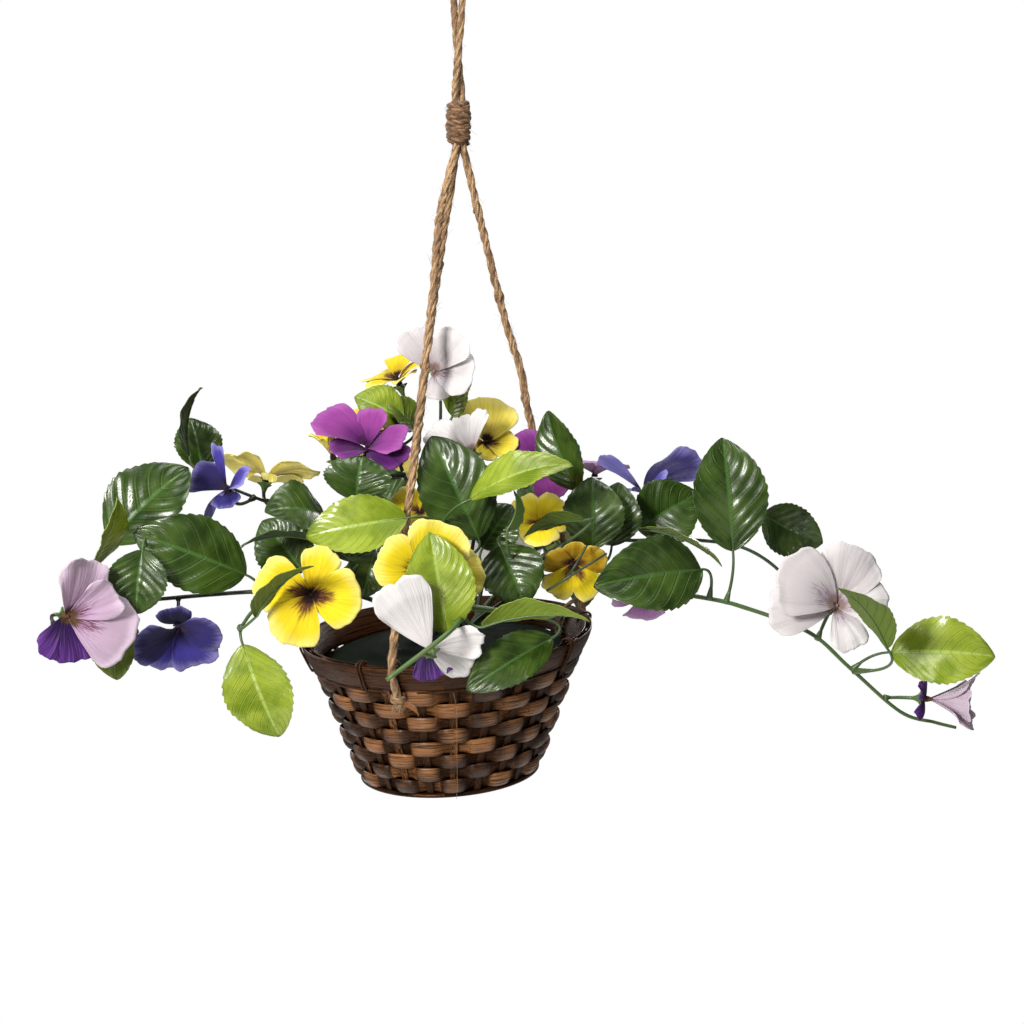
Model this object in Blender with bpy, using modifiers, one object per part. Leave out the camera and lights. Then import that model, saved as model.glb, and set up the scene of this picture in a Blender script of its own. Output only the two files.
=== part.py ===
"""Trailing pansy hanging basket: a woven chip basket on three jute ropes, filled with foam
that holds an arrangement of artificial pansies with glossy serrated leaves.

Metres, +Z up. The origin is the inner top of the hanging loop, where a hook carries it.
The plant is laid out from its front view: a place is (across, up, depth) in millimetres,
measured right of and above the rim's centre in the plane through that centre which faces the
viewer, and depth is how far the place lies behind the rim's centre. spot() carries it there
along the line of sight.
"""

import math
import random

import bmesh
import bpy
import numpy as np
from mathutils import Matrix, Vector

MM = 0.001
GAP = 0.3 * MM

# Where the basket hangs below its loop, and how the front view looks at it
RIM_CENTRE = Vector((-10.3, -5.0, -535.0)) * MM
EYE = Vector((49.3, -1642.0, 410.4)) * MM
EYE_PITCH = math.radians(11.0)

# Basket
STAKES = 24
STAKE_STEP = 360.0 / STAKES
STAKE_START = 4.2
STAKE_THICK = 1.2 * MM
STAKE_HALF_WIDTH = (2.6 * MM, 3.8 * MM)
WALL = ((-109.3, 66.0), (-25.0, 96.0), (0.0, 107.0))
BASE_TOP = -107.5 * MM
BASE_BOTTOM = -110.5 * MM
BASE_RADIUS = 68.5 * MM
WEAVERS = 8
WEAVER_TOP = -21.3 * MM
WEAVER_PITCH = 10.65 * MM
WEAVER_HEIGHT = 9.9 * MM
WEAVER_THICK = 1.2 * MM
WEAVE_SWING = (-1.8 * MM, 3.1 * MM)
NOTCH_DEPTH = 3.6 * MM
RIM_HEIGHT = 19.0 * MM
RIM_OUTER = (2.4 * MM, 4.0 * MM)
RIM_INNER = (-2.4 * MM, -1.0 * MM)
LEAN = math.radians(-3.5)
SKEW = 0.045
FOAM = ((0.0, -3.0), (45.0, -7.0), (89.0, -15.0), (82.0, -44.0), (60.0, -107.2))
FOAM_SIDES = 16
STEM_FOOT = -45.0
HOLE_CLEARANCE = 0.5 * MM

# Hanger
ROPE_RADIUS = 3.1 * MM
TAIL_RADIUS = 1.8 * MM
LOOP_RADIUS = 2.7 * MM
# Each rope: the rim azimuth, its azimuth in the binding, and the places it passes on the way
LEGS = {
    "rope_leg_front": (-18.3, -30.0, ((-5.3, 315, -14), (-12, 243, -34), (-26, 121, -70),
                       (-33, 64, -86))),
    "rope_leg_right": (116.7, 90.0, ((42, 243, 17), (56, 197, 23), (65, 152, 30))),
    "rope_leg_back": (206.7, 210.0, ((-11, 243, 36), (-26, 121, 69))),
}
WHIPPING = (-172.5 * MM, -139.6 * MM)
WHIPPING_BORE = 7.3 * MM
WHIPPING_RADIUS = 9.4 * MM
BUNDLE_RADIUS = 3.75 * MM
LOOP_OPENING = 17.0 * MM

# Leaves and petals
BLADE = 0.8 * MM
LEAF_THICK = 1.0 * MM
STALK_HALF_WIDTH = 1.1 * MM
RANDOM_SEED = 11

GREEN_DARK = (0.035, 0.12, 0.025)
BROWN = (0.085, 0.03, 0.012)
JUTE = (0.42, 0.26, 0.13)
PETAL_COLOURS = {
    "yellow": (0.85, 0.68, 0.02),
    "white": (0.82, 0.79, 0.78),
    "magenta": (0.30, 0.04, 0.30),
    "blue": (0.07, 0.05, 0.36),
    "lilac": (0.60, 0.42, 0.68),
    "mauve": (0.33, 0.18, 0.34),
}

# Each stem: where it stands in the foam (x, y), its radius, and the places it passes
STEMS = {
    "stem_right_long": ((22, -8), 2.0, ((55, 38, -20), (116, 36, -30), (192, 25, -34),
                        (226, 17, -36), (275, -2, -36), (306, -29, -34), (344, -62, -28),
                        (370, -70, -24), (386, -74, -20))),
    "stem_right_back": ((20, 10), 1.8, ((86, 64, 30), (146, 68, 45), (192, 68, 52),
                        (226, 62, 52), (253, 44, 46), (268, 19, 36), (279, 8, 26))),
    "stem_left_low": ((-24, -8), 2.0, ((-60, 24, -28), (-100, 29, -36), (-147, 29, -36),
                      (-212, 24, -42), (-248, 20, -50), (-286, 9, -62), (-298, 4, -70))),
    "stem_left_upper": ((-22, 10), 1.8, ((-58, 76, 15), (-112, 91, 28), (-133, 96, 30),
                        (-162, 107, 30), (-183, 117, 36))),
    "stem_left_front": ((-14, -24), 2.0, ((-43, 30, -60), (-89, 23, -78), (-140, 18, -84),
                        (-157, 2, -94))),
    "stem_left_middle": ((-4, -12), 1.8, ((-32, 49, -45), (-57, 70, -52), (-77, 83, -46),
                         (-86, 96, -36))),
    "stem_top_left": ((-8, 8), 1.8, ((-17, 83, 0), (-34, 121, 6), (-39, 144, 10),
                      (-32, 167, 10))),
    "stem_top": ((4, 6), 1.8, ((-4, 83, 14), (-7, 129, 14), (-5, 159, 12), (-5, 181, 4))),
    "stem_centre_back": ((10, 20), 1.8, ((23, 83, 19), (28, 111, 24))),
    "stem_front_centre": ((8, -12), 1.8, ((0, 49, -62), (-5, 78, -66))),
    "stem_front_hang": ((2, -26), 2.6, ((17, 30, -72), (13, 14, -118), (1, -2, -163),
                        (-46, -38, -181))),
    "stem_front_right": ((18, -24), 1.8, ((44, 23, -40), (57, 42, -50), (71, 53, -52))),
    "stem_back_left": ((-12, 24), 1.8, ((-26, 70, 90), (-44, 72, 140), (-58, 50, 190))),
    "stem_back_right": ((22, 26), 1.8, ((40, 72, 90), (70, 78, 140), (92, 56, 190))),
}

# Each leaf: stem, colour, base, tip, the way its upper side faces, width, teeth, arch
LEAVES = (
    ("stem_right_long", "dark", (217, 60, -36), (209, 146, -14), (0.1, -1, 0.15), 57, 5, 5),
    ("stem_right_long", "dark", (193, 46, -46), (112, 34, -84), (0, -0.95, 0.35), 56, 5, 8),
    ("stem_right_long", "light", (334, -14, -82), (297, 32, -102), (0.6, 0.5, 0.6), 38, 4, 6),
    ("stem_right_long", "light", (337, -17, -40), (416, -20, -52), (0, -0.85, 0.5), 52, 5, 6),
    ("stem_right_back", "dark", (240, 88, 46), (285, 66, 32), (0.2, -1, -0.2), 42, 4, 6),
    ("stem_right_back", "light", (144, 77, 8), (190, 104, 12), (0.2, -0.9, 0.3), 52, 5, 6),
    ("stem_right_back", "light", (146, 77, -6), (209, 49, -22), (0.2, 0.2, 1), 34, 4, 6),
    ("stem_right_back", "dark", (125, 64, -14), (130, 112, -8), (0, -0.9, 0.3), 40, 4, 6),
    ("stem_left_low", "dark", (-153, 42, -44), (-238, 74, -66), (0.1, -1, 0.4), 57, 5, 6),
    ("stem_left_low", "dark", (-256, 66, -42), (-196, 123, -14), (-0.2, -1, 0.4), 58, 5, 8),
    ("stem_left_low", "dark", (-231, 61, -80), (-236, 12, -86), (0, -0.9, 0.4), 44, 4, 4),
    ("stem_left_low", "light", (-270, 49, -84), (-250, 100, -84), (0.95, -0.25, 0), 40, 4, 4),
    ("stem_left_low", "light", (-252, 27, -56), (-251, -38, -60), (-0.3, -1, 0), 46, 4, 4),
    ("stem_left_upper", "dark", (-195, 132, 34), (-187, 184, 40), (-0.98, -0.04, 0.1), 42, 4, 6),
    ("stem_left_upper", "dark", (-186, 121, 58), (-195, 161, 74), (0.4, -0.9, 0), 38, 4, 4),
    ("stem_left_front", "light", (-155, -11, -100), (-127, -81, -96), (-0.1, -1, 0.1), 50, 5, 6),
    ("stem_left_front", "light", (-145, 10, -138), (-102, 49, -160), (-0.5, 0.3, 0.8), 34, 4, 5),
    ("stem_left_middle", "dark", (-93, 86, -44), (-138, 90, -70), (0, -0.7, 0.75), 46, 4, 6),
    ("stem_left_middle", "dark", (-94, 66, -76), (-156, 64, -88), (0, 0.25, 1), 34, 4, 6),
    ("stem_left_middle", "dark", (-109, 44, -52), (-140, 83, -44), (0, -0.9, 0.4), 46, 4, 4),
    ("stem_left_middle", "dark", (-69, 98, -62), (-64, 132, -52), (0, -0.9, 0.4), 50, 5, 6),
    ("stem_left_middle", "dark", (-74, 52, -90), (-72, 90, -84), (0, -0.9, 0.3), 43, 4, 4),
    ("stem_left_middle", "dark", (-55, 60, -70), (-64, 25, -76), (0, -1, 0), 32, 4, 4),
    ("stem_top_left", "light", (-34, 158, 2), (-70, 177, 0), (-0.2, -0.7, 0.7), 36, 4, 4),
    ("stem_top_left", "light", (-26, 152, 12), (-46, 174, 2), (0.6, -0.5, 0.4), 30, 4, 4),
    ("stem_top", "light", (4, 162, 18), (18, 193, 12), (-0.8, -0.6, 0), 32, 4, 4),
    ("stem_right_back", "dark", (100, 106, -12), (76, 166, 0), (-0.5, -0.85, 0), 38, 4, 5),
    ("stem_front_centre", "light", (-30, 85, -92), (-107, 71, -96), (0.1, -0.9, 0.4), 42, 4, 6),
    ("stem_front_centre", "dark", (24, 69, -62), (-12, 147, -46), (0.1, -1, 0.2), 56, 5, 6),
    ("stem_front_centre", "light", (18, 99, -84), (95, 126, -74), (-0.1, -0.5, 0.9), 40, 4, 8),
    ("stem_front_hang", "light", (0, -2, -136), (-13, 74, -132), (0.1, -1, 0.1), 50, 5, 6),
    ("stem_front_hang", "light", (26, 2, -128), (108, 8, -150), (0, 0.5, 0.85), 44, 4, 6),
    ("stem_front_hang", "dark", (80, -6, -116), (15, -46, -138), (-0.3, -0.9, 0.3), 36, 4, 5),
    ("stem_front_right", "dark", (40, 64, -78), (59, 18, -98), (0.1, -0.95, 0.3), 48, 4, 4),
    ("stem_front_right", "dark", (46, 76, -100), (51, 106, -100), (1, 0.25, 0), 26, 4, 4),
    ("stem_front_right", "light", (104, 83, -66), (58, 71, -76), (0, 0.6, 0.8), 26, 4, 4),
    ("stem_front_right", "dark", (110, 61, -34), (110, 116, -18), (0.1, -0.95, 0.3), 47, 4, 5),
    ("stem_front_right", "dark", (27, 62, -40), (49, 95, -34), (0, -0.9, 0.4), 38, 4, 4),
    ("stem_back_left", "dark", (-40, 90, 110), (-70, 120, 150), (-0.4, 0.4, 0.8), 52, 3, 6),
    ("stem_back_left", "dark", (-50, 60, 120), (-72, 20, 165), (-0.6, 0.6, 0.4), 52, 3, 6),
    ("stem_back_left", "dark", (-8, 80, 110), (8, 110, 160), (0.1, 0.5, 0.8), 52, 3, 6),
    ("stem_back_right", "dark", (60, 92, 110), (96, 112, 150), (0.4, 0.4, 0.8), 52, 3, 6),
    ("stem_back_right", "light", (92, 84, 150), (84, 44, 205), (0.2, 0.7, 0.6), 50, 3, 6),
    ("stem_back_right", "dark", (78, 56, 120), (100, 16, 165), (0.6, 0.6, 0.4), 52, 3, 6),
)

# Each bloom: stem, colour, place, the way it faces, roll in degrees, petal length, and flare in
# degrees
BLOOMS = {
    "bloom_far_left": ("stem_left_low", "lilac", (-291, 11, -104), (0.65, -0.75, 0.1), 0, 41, 18),
    "bloom_left_blue": ("stem_left_low", "blue", (-204, 6, -60), (0.1, -0.85, -0.5), 0, 34, 20),
    "bloom_upper_blue": ("stem_left_upper", "blue", (-165, 104, 8), (-0.25, -0.55, 0.8), 0, 33, 12),
    "bloom_upper_yellow": ("stem_left_upper", "yellow", (-138, 112, 46), (0.1, 0.45, 0.85), 0, 38, 15),
    "bloom_left_yellow": ("stem_left_front", "yellow", (-103, 26, -112), (0.05, -0.95, 0.25), 0, 37, 8),
    "bloom_magenta": ("stem_top_left", "magenta", (-60, 135, -27), (-0.1, -0.5, 0.85), 0, 38, 14),
    "bloom_top_yellow": ("stem_top_left", "yellow", (-36, 186, 39), (-0.3, -0.1, 0.9), 0, 31, 8),
    "bloom_top_white": ("stem_top", "white", (-9, 195, -8), (-0.1, -0.9, 0.4), 0, 33, 14),
    "bloom_middle_white": ("stem_centre_back", "white", (20, 133, -10), (-0.2, -0.8, 0.55), 0, 30, 8),
    "bloom_middle_yellow": ("stem_centre_back", "yellow", (29, 141, 22), (0.2, -0.8, 0.5), 0, 33, 10),
    "bloom_middle_purple": ("stem_centre_back", "magenta", (68, 126, 22), (0.2, -0.95, 0.2), 0, 28, 10),
    "bloom_centre_yellow": ("stem_front_centre", "yellow", (-16, 44, -106), (0, -0.98, 0.15), 0, 40, 8),
    "bloom_behind_yellow": ("stem_front_centre", "yellow", (-20, 86, -34), (0, -0.6, 0.8), 0, 26, 25),
    "bloom_front_white": ("stem_front_hang", "white", (-12, -16, -155), (-0.25, 0.95, 0.2), 0, 42, 8),
    "bloom_right_pale": ("stem_front_right", "yellow", (70, 78, -12), (0, -0.7, 0.7), 0, 27, 15),
    "bloom_right_brown": ("stem_front_right", "yellow", (95, 53, -58), (0.1, -0.85, -0.3), 0, 28, 12),
    "bloom_back_mauve": ("stem_back_right", "mauve", (112, 116, 86), (0, 0.2, 0.95), 0, 29, 15),
    "bloom_right_blue": ("stem_right_back", "blue", (150, 101, 36), (-0.35, -0.2, 0.85), 0, 42, 20),
    "bloom_under_mauve": ("stem_right_long", "mauve", (150, 30, 0), (0, -0.5, -0.8), 0, 28, 20),
    "bud_yellow": ("stem_top_left", "yellow", (-86, 130, 18), (-0.3, -0.2, 0.95), 0, 24, 60),
    "bloom_right_white": ("stem_right_long", "white", (294, 17, -38), (0.15, -0.85, 0.45), 0, 44, 8),
    "bloom_far_right": ("stem_right_long", "lilac", (361, -52, -34), (0.9, -0.42, 0.05), 0, 35, 54),
    "bloom_behind_magenta": ("stem_top_left", "yellow", (-54, 152, 42), (0, -0.3, 0.9), 0, 26, 20),
    "bloom_back_yellow": ("stem_back_left", "yellow", (-50, 110, 180), (-0.2, 0.8, 0.6), 0, 37, 12),
    "bloom_back_white": ("stem_back_right", "white", (40, 60, 200), (0.1, 0.9, 0.3), 0, 37, 12),
}

# The petals of a bloom from the hindmost: angle from straight up, size, half the angle that the
# petal spans, and how much more it flares than the bloom
PETALS = ((-38, 1.0, 40, 0), (36, 1.0, 38, 0), (-104, 0.95, 36, 0), (102, 0.95, 36, 0),
          (180, 1.08, 42, 0))
PETALS_BEHIND = ((-62, 1.0, 52, 0), (60, 1.0, 52, 0), (180, 1.0, 52, 0))
PETAL_SETS = {
    "bloom_far_left": ((-145, 0.85, 36, -4), (172, 0.82, 40, -4), (12, 1.15, 38, 8),
                       (60, 0.95, 40, 16), (118, 1.15, 48, 0)),
    "bloom_left_blue": ((-8, 0.8, 42, 0), (-162, 1.12, 36, -6), (148, 1.1, 44, 0),
                        (76, 1.0, 50, 0), (-80, 1.1, 50, 12)),
    "bloom_upper_blue": ((165, 0.6, 54, -10), (85, 0.85, 42, 22), (-82, 1.0, 40, 0),
                         (-146, 1.0, 15, -44), (-10, 0.95, 28, 52)),
    "bloom_upper_yellow": ((180, 1.0, 50, 0), (-95, 1.1, 46, 0), (95, 1.1, 46, 0),
                           (32, 0.85, 28, -8), (-26, 0.9, 17, -48)),
    "bloom_left_yellow": ((16, 0.98, 31, 4), (-73, 1.1, 41, 2), (97, 0.97, 50, 0),
                          (-151, 1.04, 42, 0)),
    "bloom_magenta": ((122, 0.95, 38, -4), (-128, 0.75, 42, 0), (98, 0.9, 44, 6),
                      (12, 0.70, 44, 16), (-80, 1.10, 46, 12)),
    "bloom_top_yellow": ((70, 0.6, 54, 6), (10, 0.8, 46, 8), (-166, 0.8, 46, -6),
                         (-110, 1.05, 40, -8), (-48, 1.05, 42, 6)),
    "bloom_top_white": ((160, 0.7, 40, -6), (-38, 1.1, 30, 4), (102, 0.98, 46, 0),
                        (42, 1.05, 40, 10)),
    "bloom_middle_white": ((170, 0.5, 48, 0), (-64, 1.3, 28, 0), (-26, 1.0, 24, 6),
                           (12, 1.05, 18, 12)),
    "bloom_middle_yellow": ((-110, 0.6, 44, 0), (180, 0.5, 50, 0), (112, 0.7, 44, 0),
                            (6, 1.05, 60, 0)),
    "bloom_middle_purple": ((-36, 1.0, 48, 0), (40, 1.0, 46, 0), (-110, 0.9, 44, 0),
                            (150, 1.1, 46, 0)),
    "bloom_centre_yellow": ((178, 0.9, 46, 0), (-122, 0.8, 38, 0), (96, 1.05, 37, 2),
                            (-68, 0.92, 45, 5), (26, 1.02, 50, 8)),
    "bloom_front_white": ((28, 1.36, 29, 0), (-84, 0.9, 26, -9), (-122, 0.95, 30, 0),
                          (-166, 0.74, 38, 0)),
    "bloom_right_brown": ((0, 0.7, 46, 0), (-68, 0.85, 38, 0), (66, 0.9, 40, 0),
                          (-142, 1.0, 38, 0), (140, 1.0, 38, 0)),
    "bloom_right_blue": ((72, 0.72, 38, 8), (8, 1.3, 42, -16), (156, 0.68, 26, 6),
                         (-122, 0.95, 30, 30)),
    "bloom_right_white": ((-92, 1.15, 30, -6), (166, 0.8, 34, -6), (24, 1.06, 44, 6),
                          (88, 0.86, 42, 0), (-62, 1.2, 42, 4)),
    "bloom_far_right": ((-150, 0.5, 44, -70), (-35, 0.48, 44, -70), (90, 1.0, 56, 0),
                        (178, 1.0, 56, 0), (0, 1.04, 56, 0), (-92, 1.0, 54, 2)),
    "bud_yellow": PETALS_BEHIND,
    "bloom_behind_yellow": PETALS_BEHIND,
    "bloom_behind_magenta": PETALS_BEHIND,
    "bloom_under_mauve": PETALS_BEHIND,
    "bloom_back_mauve": PETALS_BEHIND,
}
# Across and along a petal: its root, two places on its sides, and five along its edge
PETAL_GRID = ((0, 0), (-1, 0.6), (1, 0.6), (-1, 1), (-0.5, 1), (0, 1), (0.5, 1), (1, 1))
PETAL_FACES = ((0, 2, 1), (1, 2, 5), (1, 5, 4), (1, 4, 3), (2, 6, 5), (2, 7, 6))
PETAL_BULGE = 0.4
PETAL_CUP = 0.10
PETAL_WAVE = 0.05
PETAL_START = 1.0 * MM
PETAL_LAYER = 1.2 * MM
PETAL_FAN = 0.035
HUB_RADIUS = 2.7 * MM


def spot(place):
    """Carry (across, up, depth) along the line of sight to its depth, from the rim's centre."""
    across, up, depth = (value * MM for value in place)
    on_plane = Vector((across, up * math.sin(EYE_PITCH), up * math.cos(EYE_PITCH)))
    sight = on_plane - EYE
    return EYE + sight * ((depth - EYE.y) / sight.y)


def basket_matrix():
    """The basket's own lean, and the slight skew of its hand-woven wall."""
    skew = Matrix.Identity(4)
    skew[0][2] = SKEW
    return Matrix.Rotation(LEAN, 4, "Y") @ skew


def around(angle, radius, height):
    """A place on the basket: angle in degrees from the front towards the right."""
    turn = math.radians(angle)
    return Vector((radius * math.sin(turn), -radius * math.cos(turn), height))


def wall_radius(height):
    """Radius of the stakes' middle surface at a height below the rim."""
    heights = [z * MM for z, _ in WALL]
    radii = [r * MM for _, r in WALL]
    return float(np.interp(height, heights, radii))


def bend(start, control, end, steps):
    """A quadratic curve from start to end that leans towards the control point."""
    points = []
    for k in range(steps + 1):
        t = k / steps
        points.append((1 - t) ** 2 * start + 2 * t * (1 - t) * control + t * t * end)
    return points


def remove_objects():
    for obj in list(bpy.data.objects):
        bpy.data.objects.remove(obj, do_unlink=True)


def new_collection(name, hidden=False):
    collection = bpy.data.collections.new(name)
    bpy.context.scene.collection.children.link(collection)
    collection.hide_render = hidden
    return collection


def material(name, colour, roughness):
    made = bpy.data.materials.get(name)
    if made is None:
        made = bpy.data.materials.new(name)
        made.use_nodes = True
        made.diffuse_color = (*colour, 1.0)
        shader = made.node_tree.nodes["Principled BSDF"]
        shader.inputs["Base Color"].default_value = (*colour, 1.0)
        shader.inputs["Roughness"].default_value = roughness
    return made


def add_object(name, data, collection):
    obj = bpy.data.objects.new(name, data)
    collection.objects.link(obj)
    return obj


def evaluated_mesh(obj):
    """The object's mesh with its modifiers applied, its caps welded."""
    graph = bpy.context.evaluated_depsgraph_get()
    mesh = bpy.data.meshes.new_from_object(obj.evaluated_get(graph))
    bm = bmesh.new()
    bm.from_mesh(mesh)
    bmesh.ops.remove_doubles(bm, verts=bm.verts, dist=1e-6)
    bm.to_mesh(mesh)
    bm.free()
    return mesh


def applied(obj, collection):
    """Replace an object by a mesh object of its evaluated shape, in the same place."""
    name = obj.name
    mesh = evaluated_mesh(obj)
    place = obj.matrix_world.copy()
    bpy.data.objects.remove(obj, do_unlink=True)
    made = add_object(name, mesh, collection)
    mesh.name = name
    made.matrix_world = place
    return made


def tube(name, points, radius, collection, sides=8, taper=1.0):
    """A round rod along the points, closed at both ends; sides is 4, 6 or 8."""
    curve = bpy.data.curves.new(name, "CURVE")
    curve.dimensions = "3D"
    curve.bevel_depth = radius
    curve.bevel_resolution = (sides - 4) // 2
    curve.use_fill_caps = True
    spline = curve.splines.new("POLY")
    spline.points.add(len(points) - 1)
    for i, point in enumerate(points):
        spline.points[i].co = (*point, 1.0)
        spline.points[i].radius = 1.0 + (taper - 1.0) * i / (len(points) - 1)
    return applied(add_object(name, curve, collection), collection)


def turned(name, profile, steps, collection, closed, turn=0.0):
    """Turn a profile of (radius, height) round Z; it runs down its outer side."""
    mesh = bpy.data.meshes.new(name)
    edges = [(i, i + 1) for i in range(len(profile) - 1)]
    if closed:
        edges.append((len(profile) - 1, 0))
    mesh.from_pydata([(r, 0.0, z) for r, z in profile], edges, [])
    obj = add_object(name, mesh, collection)
    obj.rotation_euler = (0.0, 0.0, math.radians(turn))
    screw = obj.modifiers.new("turn", "SCREW")
    screw.axis = "Z"
    screw.angle = math.tau
    screw.steps = steps
    screw.render_steps = steps
    screw.use_merge_vertices = True
    screw.merge_threshold = 1e-5
    bpy.context.view_layer.update()
    return applied(obj, collection)


def blade(name, points, faces, collection, thickness=BLADE):
    """A thin sheet with its thickness on both sides of the given triangles."""
    mesh = bpy.data.meshes.new(name)
    mesh.from_pydata([tuple(p) for p in points], [], faces)
    obj = add_object(name, mesh, collection)
    solid = obj.modifiers.new("thickness", "SOLIDIFY")
    solid.thickness = thickness
    solid.offset = 0.0
    return applied(obj, collection)


def grid_faces(rows, columns):
    """Triangles over a grid of points, row by row."""
    faces = []
    for i in range(rows - 1):
        for j in range(columns - 1):
            a = i * columns + j
            b = a + columns
            faces.append((a, a + 1, b + 1))
            faces.append((a, b + 1, b))
    return faces


def union(name, pieces, finish, home):
    """Join the pieces into one body and put it in the home collection."""
    first = pieces[0]
    joining = new_collection("joining")
    for piece in pieces[1:]:
        for old in list(piece.users_collection):
            old.objects.unlink(piece)
        joining.objects.link(piece)
    join = first.modifiers.new("join", "BOOLEAN")
    join.operation = "UNION"
    join.operand_type = "COLLECTION"
    join.collection = joining
    join.solver = "MANIFOLD"
    bpy.context.view_layer.update()
    mesh = evaluated_mesh(first)
    mesh.transform(first.matrix_world)
    for piece in pieces:
        bpy.data.objects.remove(piece, do_unlink=True)
    bpy.data.collections.remove(joining)
    mesh.name = name
    mesh.materials.clear()
    mesh.materials.append(finish)
    return add_object(name, mesh, home)


def seat(obj, matrix, parent, finish, smooth_angle=None):
    """Move the mesh by a matrix, hang the object on its parent and give it its finish."""
    obj.data.transform(matrix @ obj.matrix_basis)
    obj.matrix_basis = Matrix.Identity(4)
    obj.parent = parent
    obj.data.materials.clear()
    obj.data.materials.append(finish)
    if smooth_angle is not None:
        obj.data.shade_smooth()
        obj.data.set_sharp_from_angle(angle=smooth_angle)
    return obj


def build_weaver(row, home, rim):
    """A flat chip strip, a closed ring that passes in front of every other stake."""
    top = WEAVER_TOP - row * WEAVER_PITCH
    bottom = top - WEAVER_HEIGHT
    bm = bmesh.new()
    bmesh.ops.create_cone(bm, cap_ends=False, segments=STAKES, radius1=wall_radius(bottom),
                          radius2=wall_radius(top), depth=WEAVER_HEIGHT)
    for vert in bm.verts:
        angle = math.degrees(math.atan2(vert.co.x, -vert.co.y))
        index = round((angle - STAKE_START) / STAKE_STEP)
        angle = STAKE_START + index * STAKE_STEP
        height = top if vert.co.z > 0 else bottom
        near_rope = min(abs((angle - rope[0] + 180) % 360 - 180) for rope in LEGS.values())
        if row == 0 and vert.co.z > 0 and near_rope < 0.6 * STAKE_STEP:
            height -= NOTCH_DEPTH
        vert.co = around(angle, wall_radius(height) + WEAVE_SWING[(index + row) % 2], height)
    mesh = bpy.data.meshes.new("weaver")
    bm.to_mesh(mesh)
    bm.free()
    obj = add_object("weaver_%d" % (row + 1), mesh, home)
    solid = obj.modifiers.new("thickness", "SOLIDIFY")
    solid.thickness = WEAVER_THICK
    solid.offset = 0.0
    return seat(applied(obj, home), basket_matrix(), rim, material("chip", BROWN, 0.4))


def build_frame(home, scratch, rim):
    """The base disc with the stakes that rise from its edge and end between the rim hoops."""
    profile = [(0.0, BASE_TOP), (BASE_RADIUS, BASE_TOP), (BASE_RADIUS, BASE_BOTTOM),
               (0.0, BASE_BOTTOM)]
    disc = turned("disc", profile, STAKES, scratch, False, STAKE_STEP / 2 + STAKE_START)
    heights = (BASE_BOTTOM + 1.2 * MM, -25.0 * MM, -1.0 * MM)
    low, high = STAKE_HALF_WIDTH
    widths = np.interp(heights, (heights[0], heights[-1]), (low, high))
    pieces = [disc]
    for k in range(STAKES):
        angle = STAKE_START + k * STAKE_STEP
        side = around(angle + 90.0, 1.0, 0.0)
        points = []
        for height, width in zip(heights, widths):
            middle = around(angle, wall_radius(height), height)
            points += [middle - side * width, middle + side * width]
        pieces.append(blade("stake", points, grid_faces(len(heights), 2), scratch, STAKE_THICK))
    frame = union("basket_frame", pieces, material("chip", BROWN, 0.4), home)
    return seat(frame, basket_matrix(), rim, material("chip", BROWN, 0.4))


def build_rims(home, rim):
    """Two wide hoops, one outside and one inside the stake ends."""
    for name, (inner, outer) in (("rim_outer", RIM_OUTER), ("rim_inner", RIM_INNER)):
        foot = -RIM_HEIGHT
        profile = [(wall_radius(0) + outer, 0.0), (wall_radius(foot) + outer, foot),
                   (wall_radius(foot) + inner, foot), (wall_radius(0) + inner, 0.0)]
        hoop = turned(name, profile, STAKES, home, True, STAKE_START + STAKE_STEP / 2)
        seat(hoop, basket_matrix(), rim, material("chip", BROWN, 0.4))


def build_foam(home, scratch, rim):
    """The foam block, with a plain hole for each stem."""
    profile = [(r * MM, z * MM) for r, z in FOAM] + [(0.0, FOAM[-1][1] * MM)]
    foam = turned("foam", profile, FOAM_SIDES, home, False)
    seat(foam, basket_matrix(), rim, material("foam", (0.008, 0.03, 0.014), 0.9))
    for name, (foot, radius, _) in STEMS.items():
        bottom = stem_foot(foot, STEM_FOOT) - Vector((0.0, 0.0, GAP))
        hole = tube("hole_" + name, [bottom, stem_foot(foot, 12.0)], radius * MM + HOLE_CLEARANCE,
                    scratch, stem_sides(name))
        hole.parent = rim
        hole.hide_render = True
        hole.display_type = "WIRE"
    cut = foam.modifiers.new("stem holes", "BOOLEAN")
    cut.operation = "DIFFERENCE"
    cut.operand_type = "COLLECTION"
    cut.collection = scratch
    cut.solver = "EXACT"
    return foam


def build_lashing(home, scratch, rim):
    """Cane that runs under the outer hoop between the ropes and ties the hoops together."""
    strand = 0.75 * MM
    under = -RIM_HEIGHT - GAP - strand
    over = strand + 2 * GAP
    outer = wall_radius(-RIM_HEIGHT) + RIM_OUTER[1] - strand
    beside = 1.5 * over
    ropes = sorted(rope[0] for rope in LEGS.values())
    names = ("lashing_right", "lashing_back", "lashing_left")
    cane = material("cane", (0.16, 0.07, 0.025), 0.45)
    for name, start, end in zip(names, ropes, ropes[1:] + [ropes[0] + 360]):
        count = round((end - start) / STAKE_STEP)
        run = [around(start + (k + 0.5) * STAKE_STEP, outer, under) for k in range(count)]
        pieces = [tube("run", run, strand, scratch, 4)]
        for tie in sorted({start + 5 * STAKE_STEP, end - STAKE_STEP}):
            loop = [(wall_radius(-RIM_HEIGHT) + RIM_OUTER[1] + beside, under),
                    (wall_radius(0) + RIM_OUTER[1] + beside, over),
                    (wall_radius(0) + RIM_INNER[0] - beside, over),
                    (wall_radius(-RIM_HEIGHT) + RIM_INNER[0] - beside, under)]
            path = [around(tie - 0.7, outer, under)]
            path += [around(tie - 0.7 + 1.4 * k / 3, r, z) for k, (r, z) in enumerate(loop)]
            path.append(around(tie + 0.7, outer, under))
            pieces.append(tube("tie", path, strand, scratch, 4))
        seat(union(name, pieces, cane, home), basket_matrix(), rim, cane)


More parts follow.
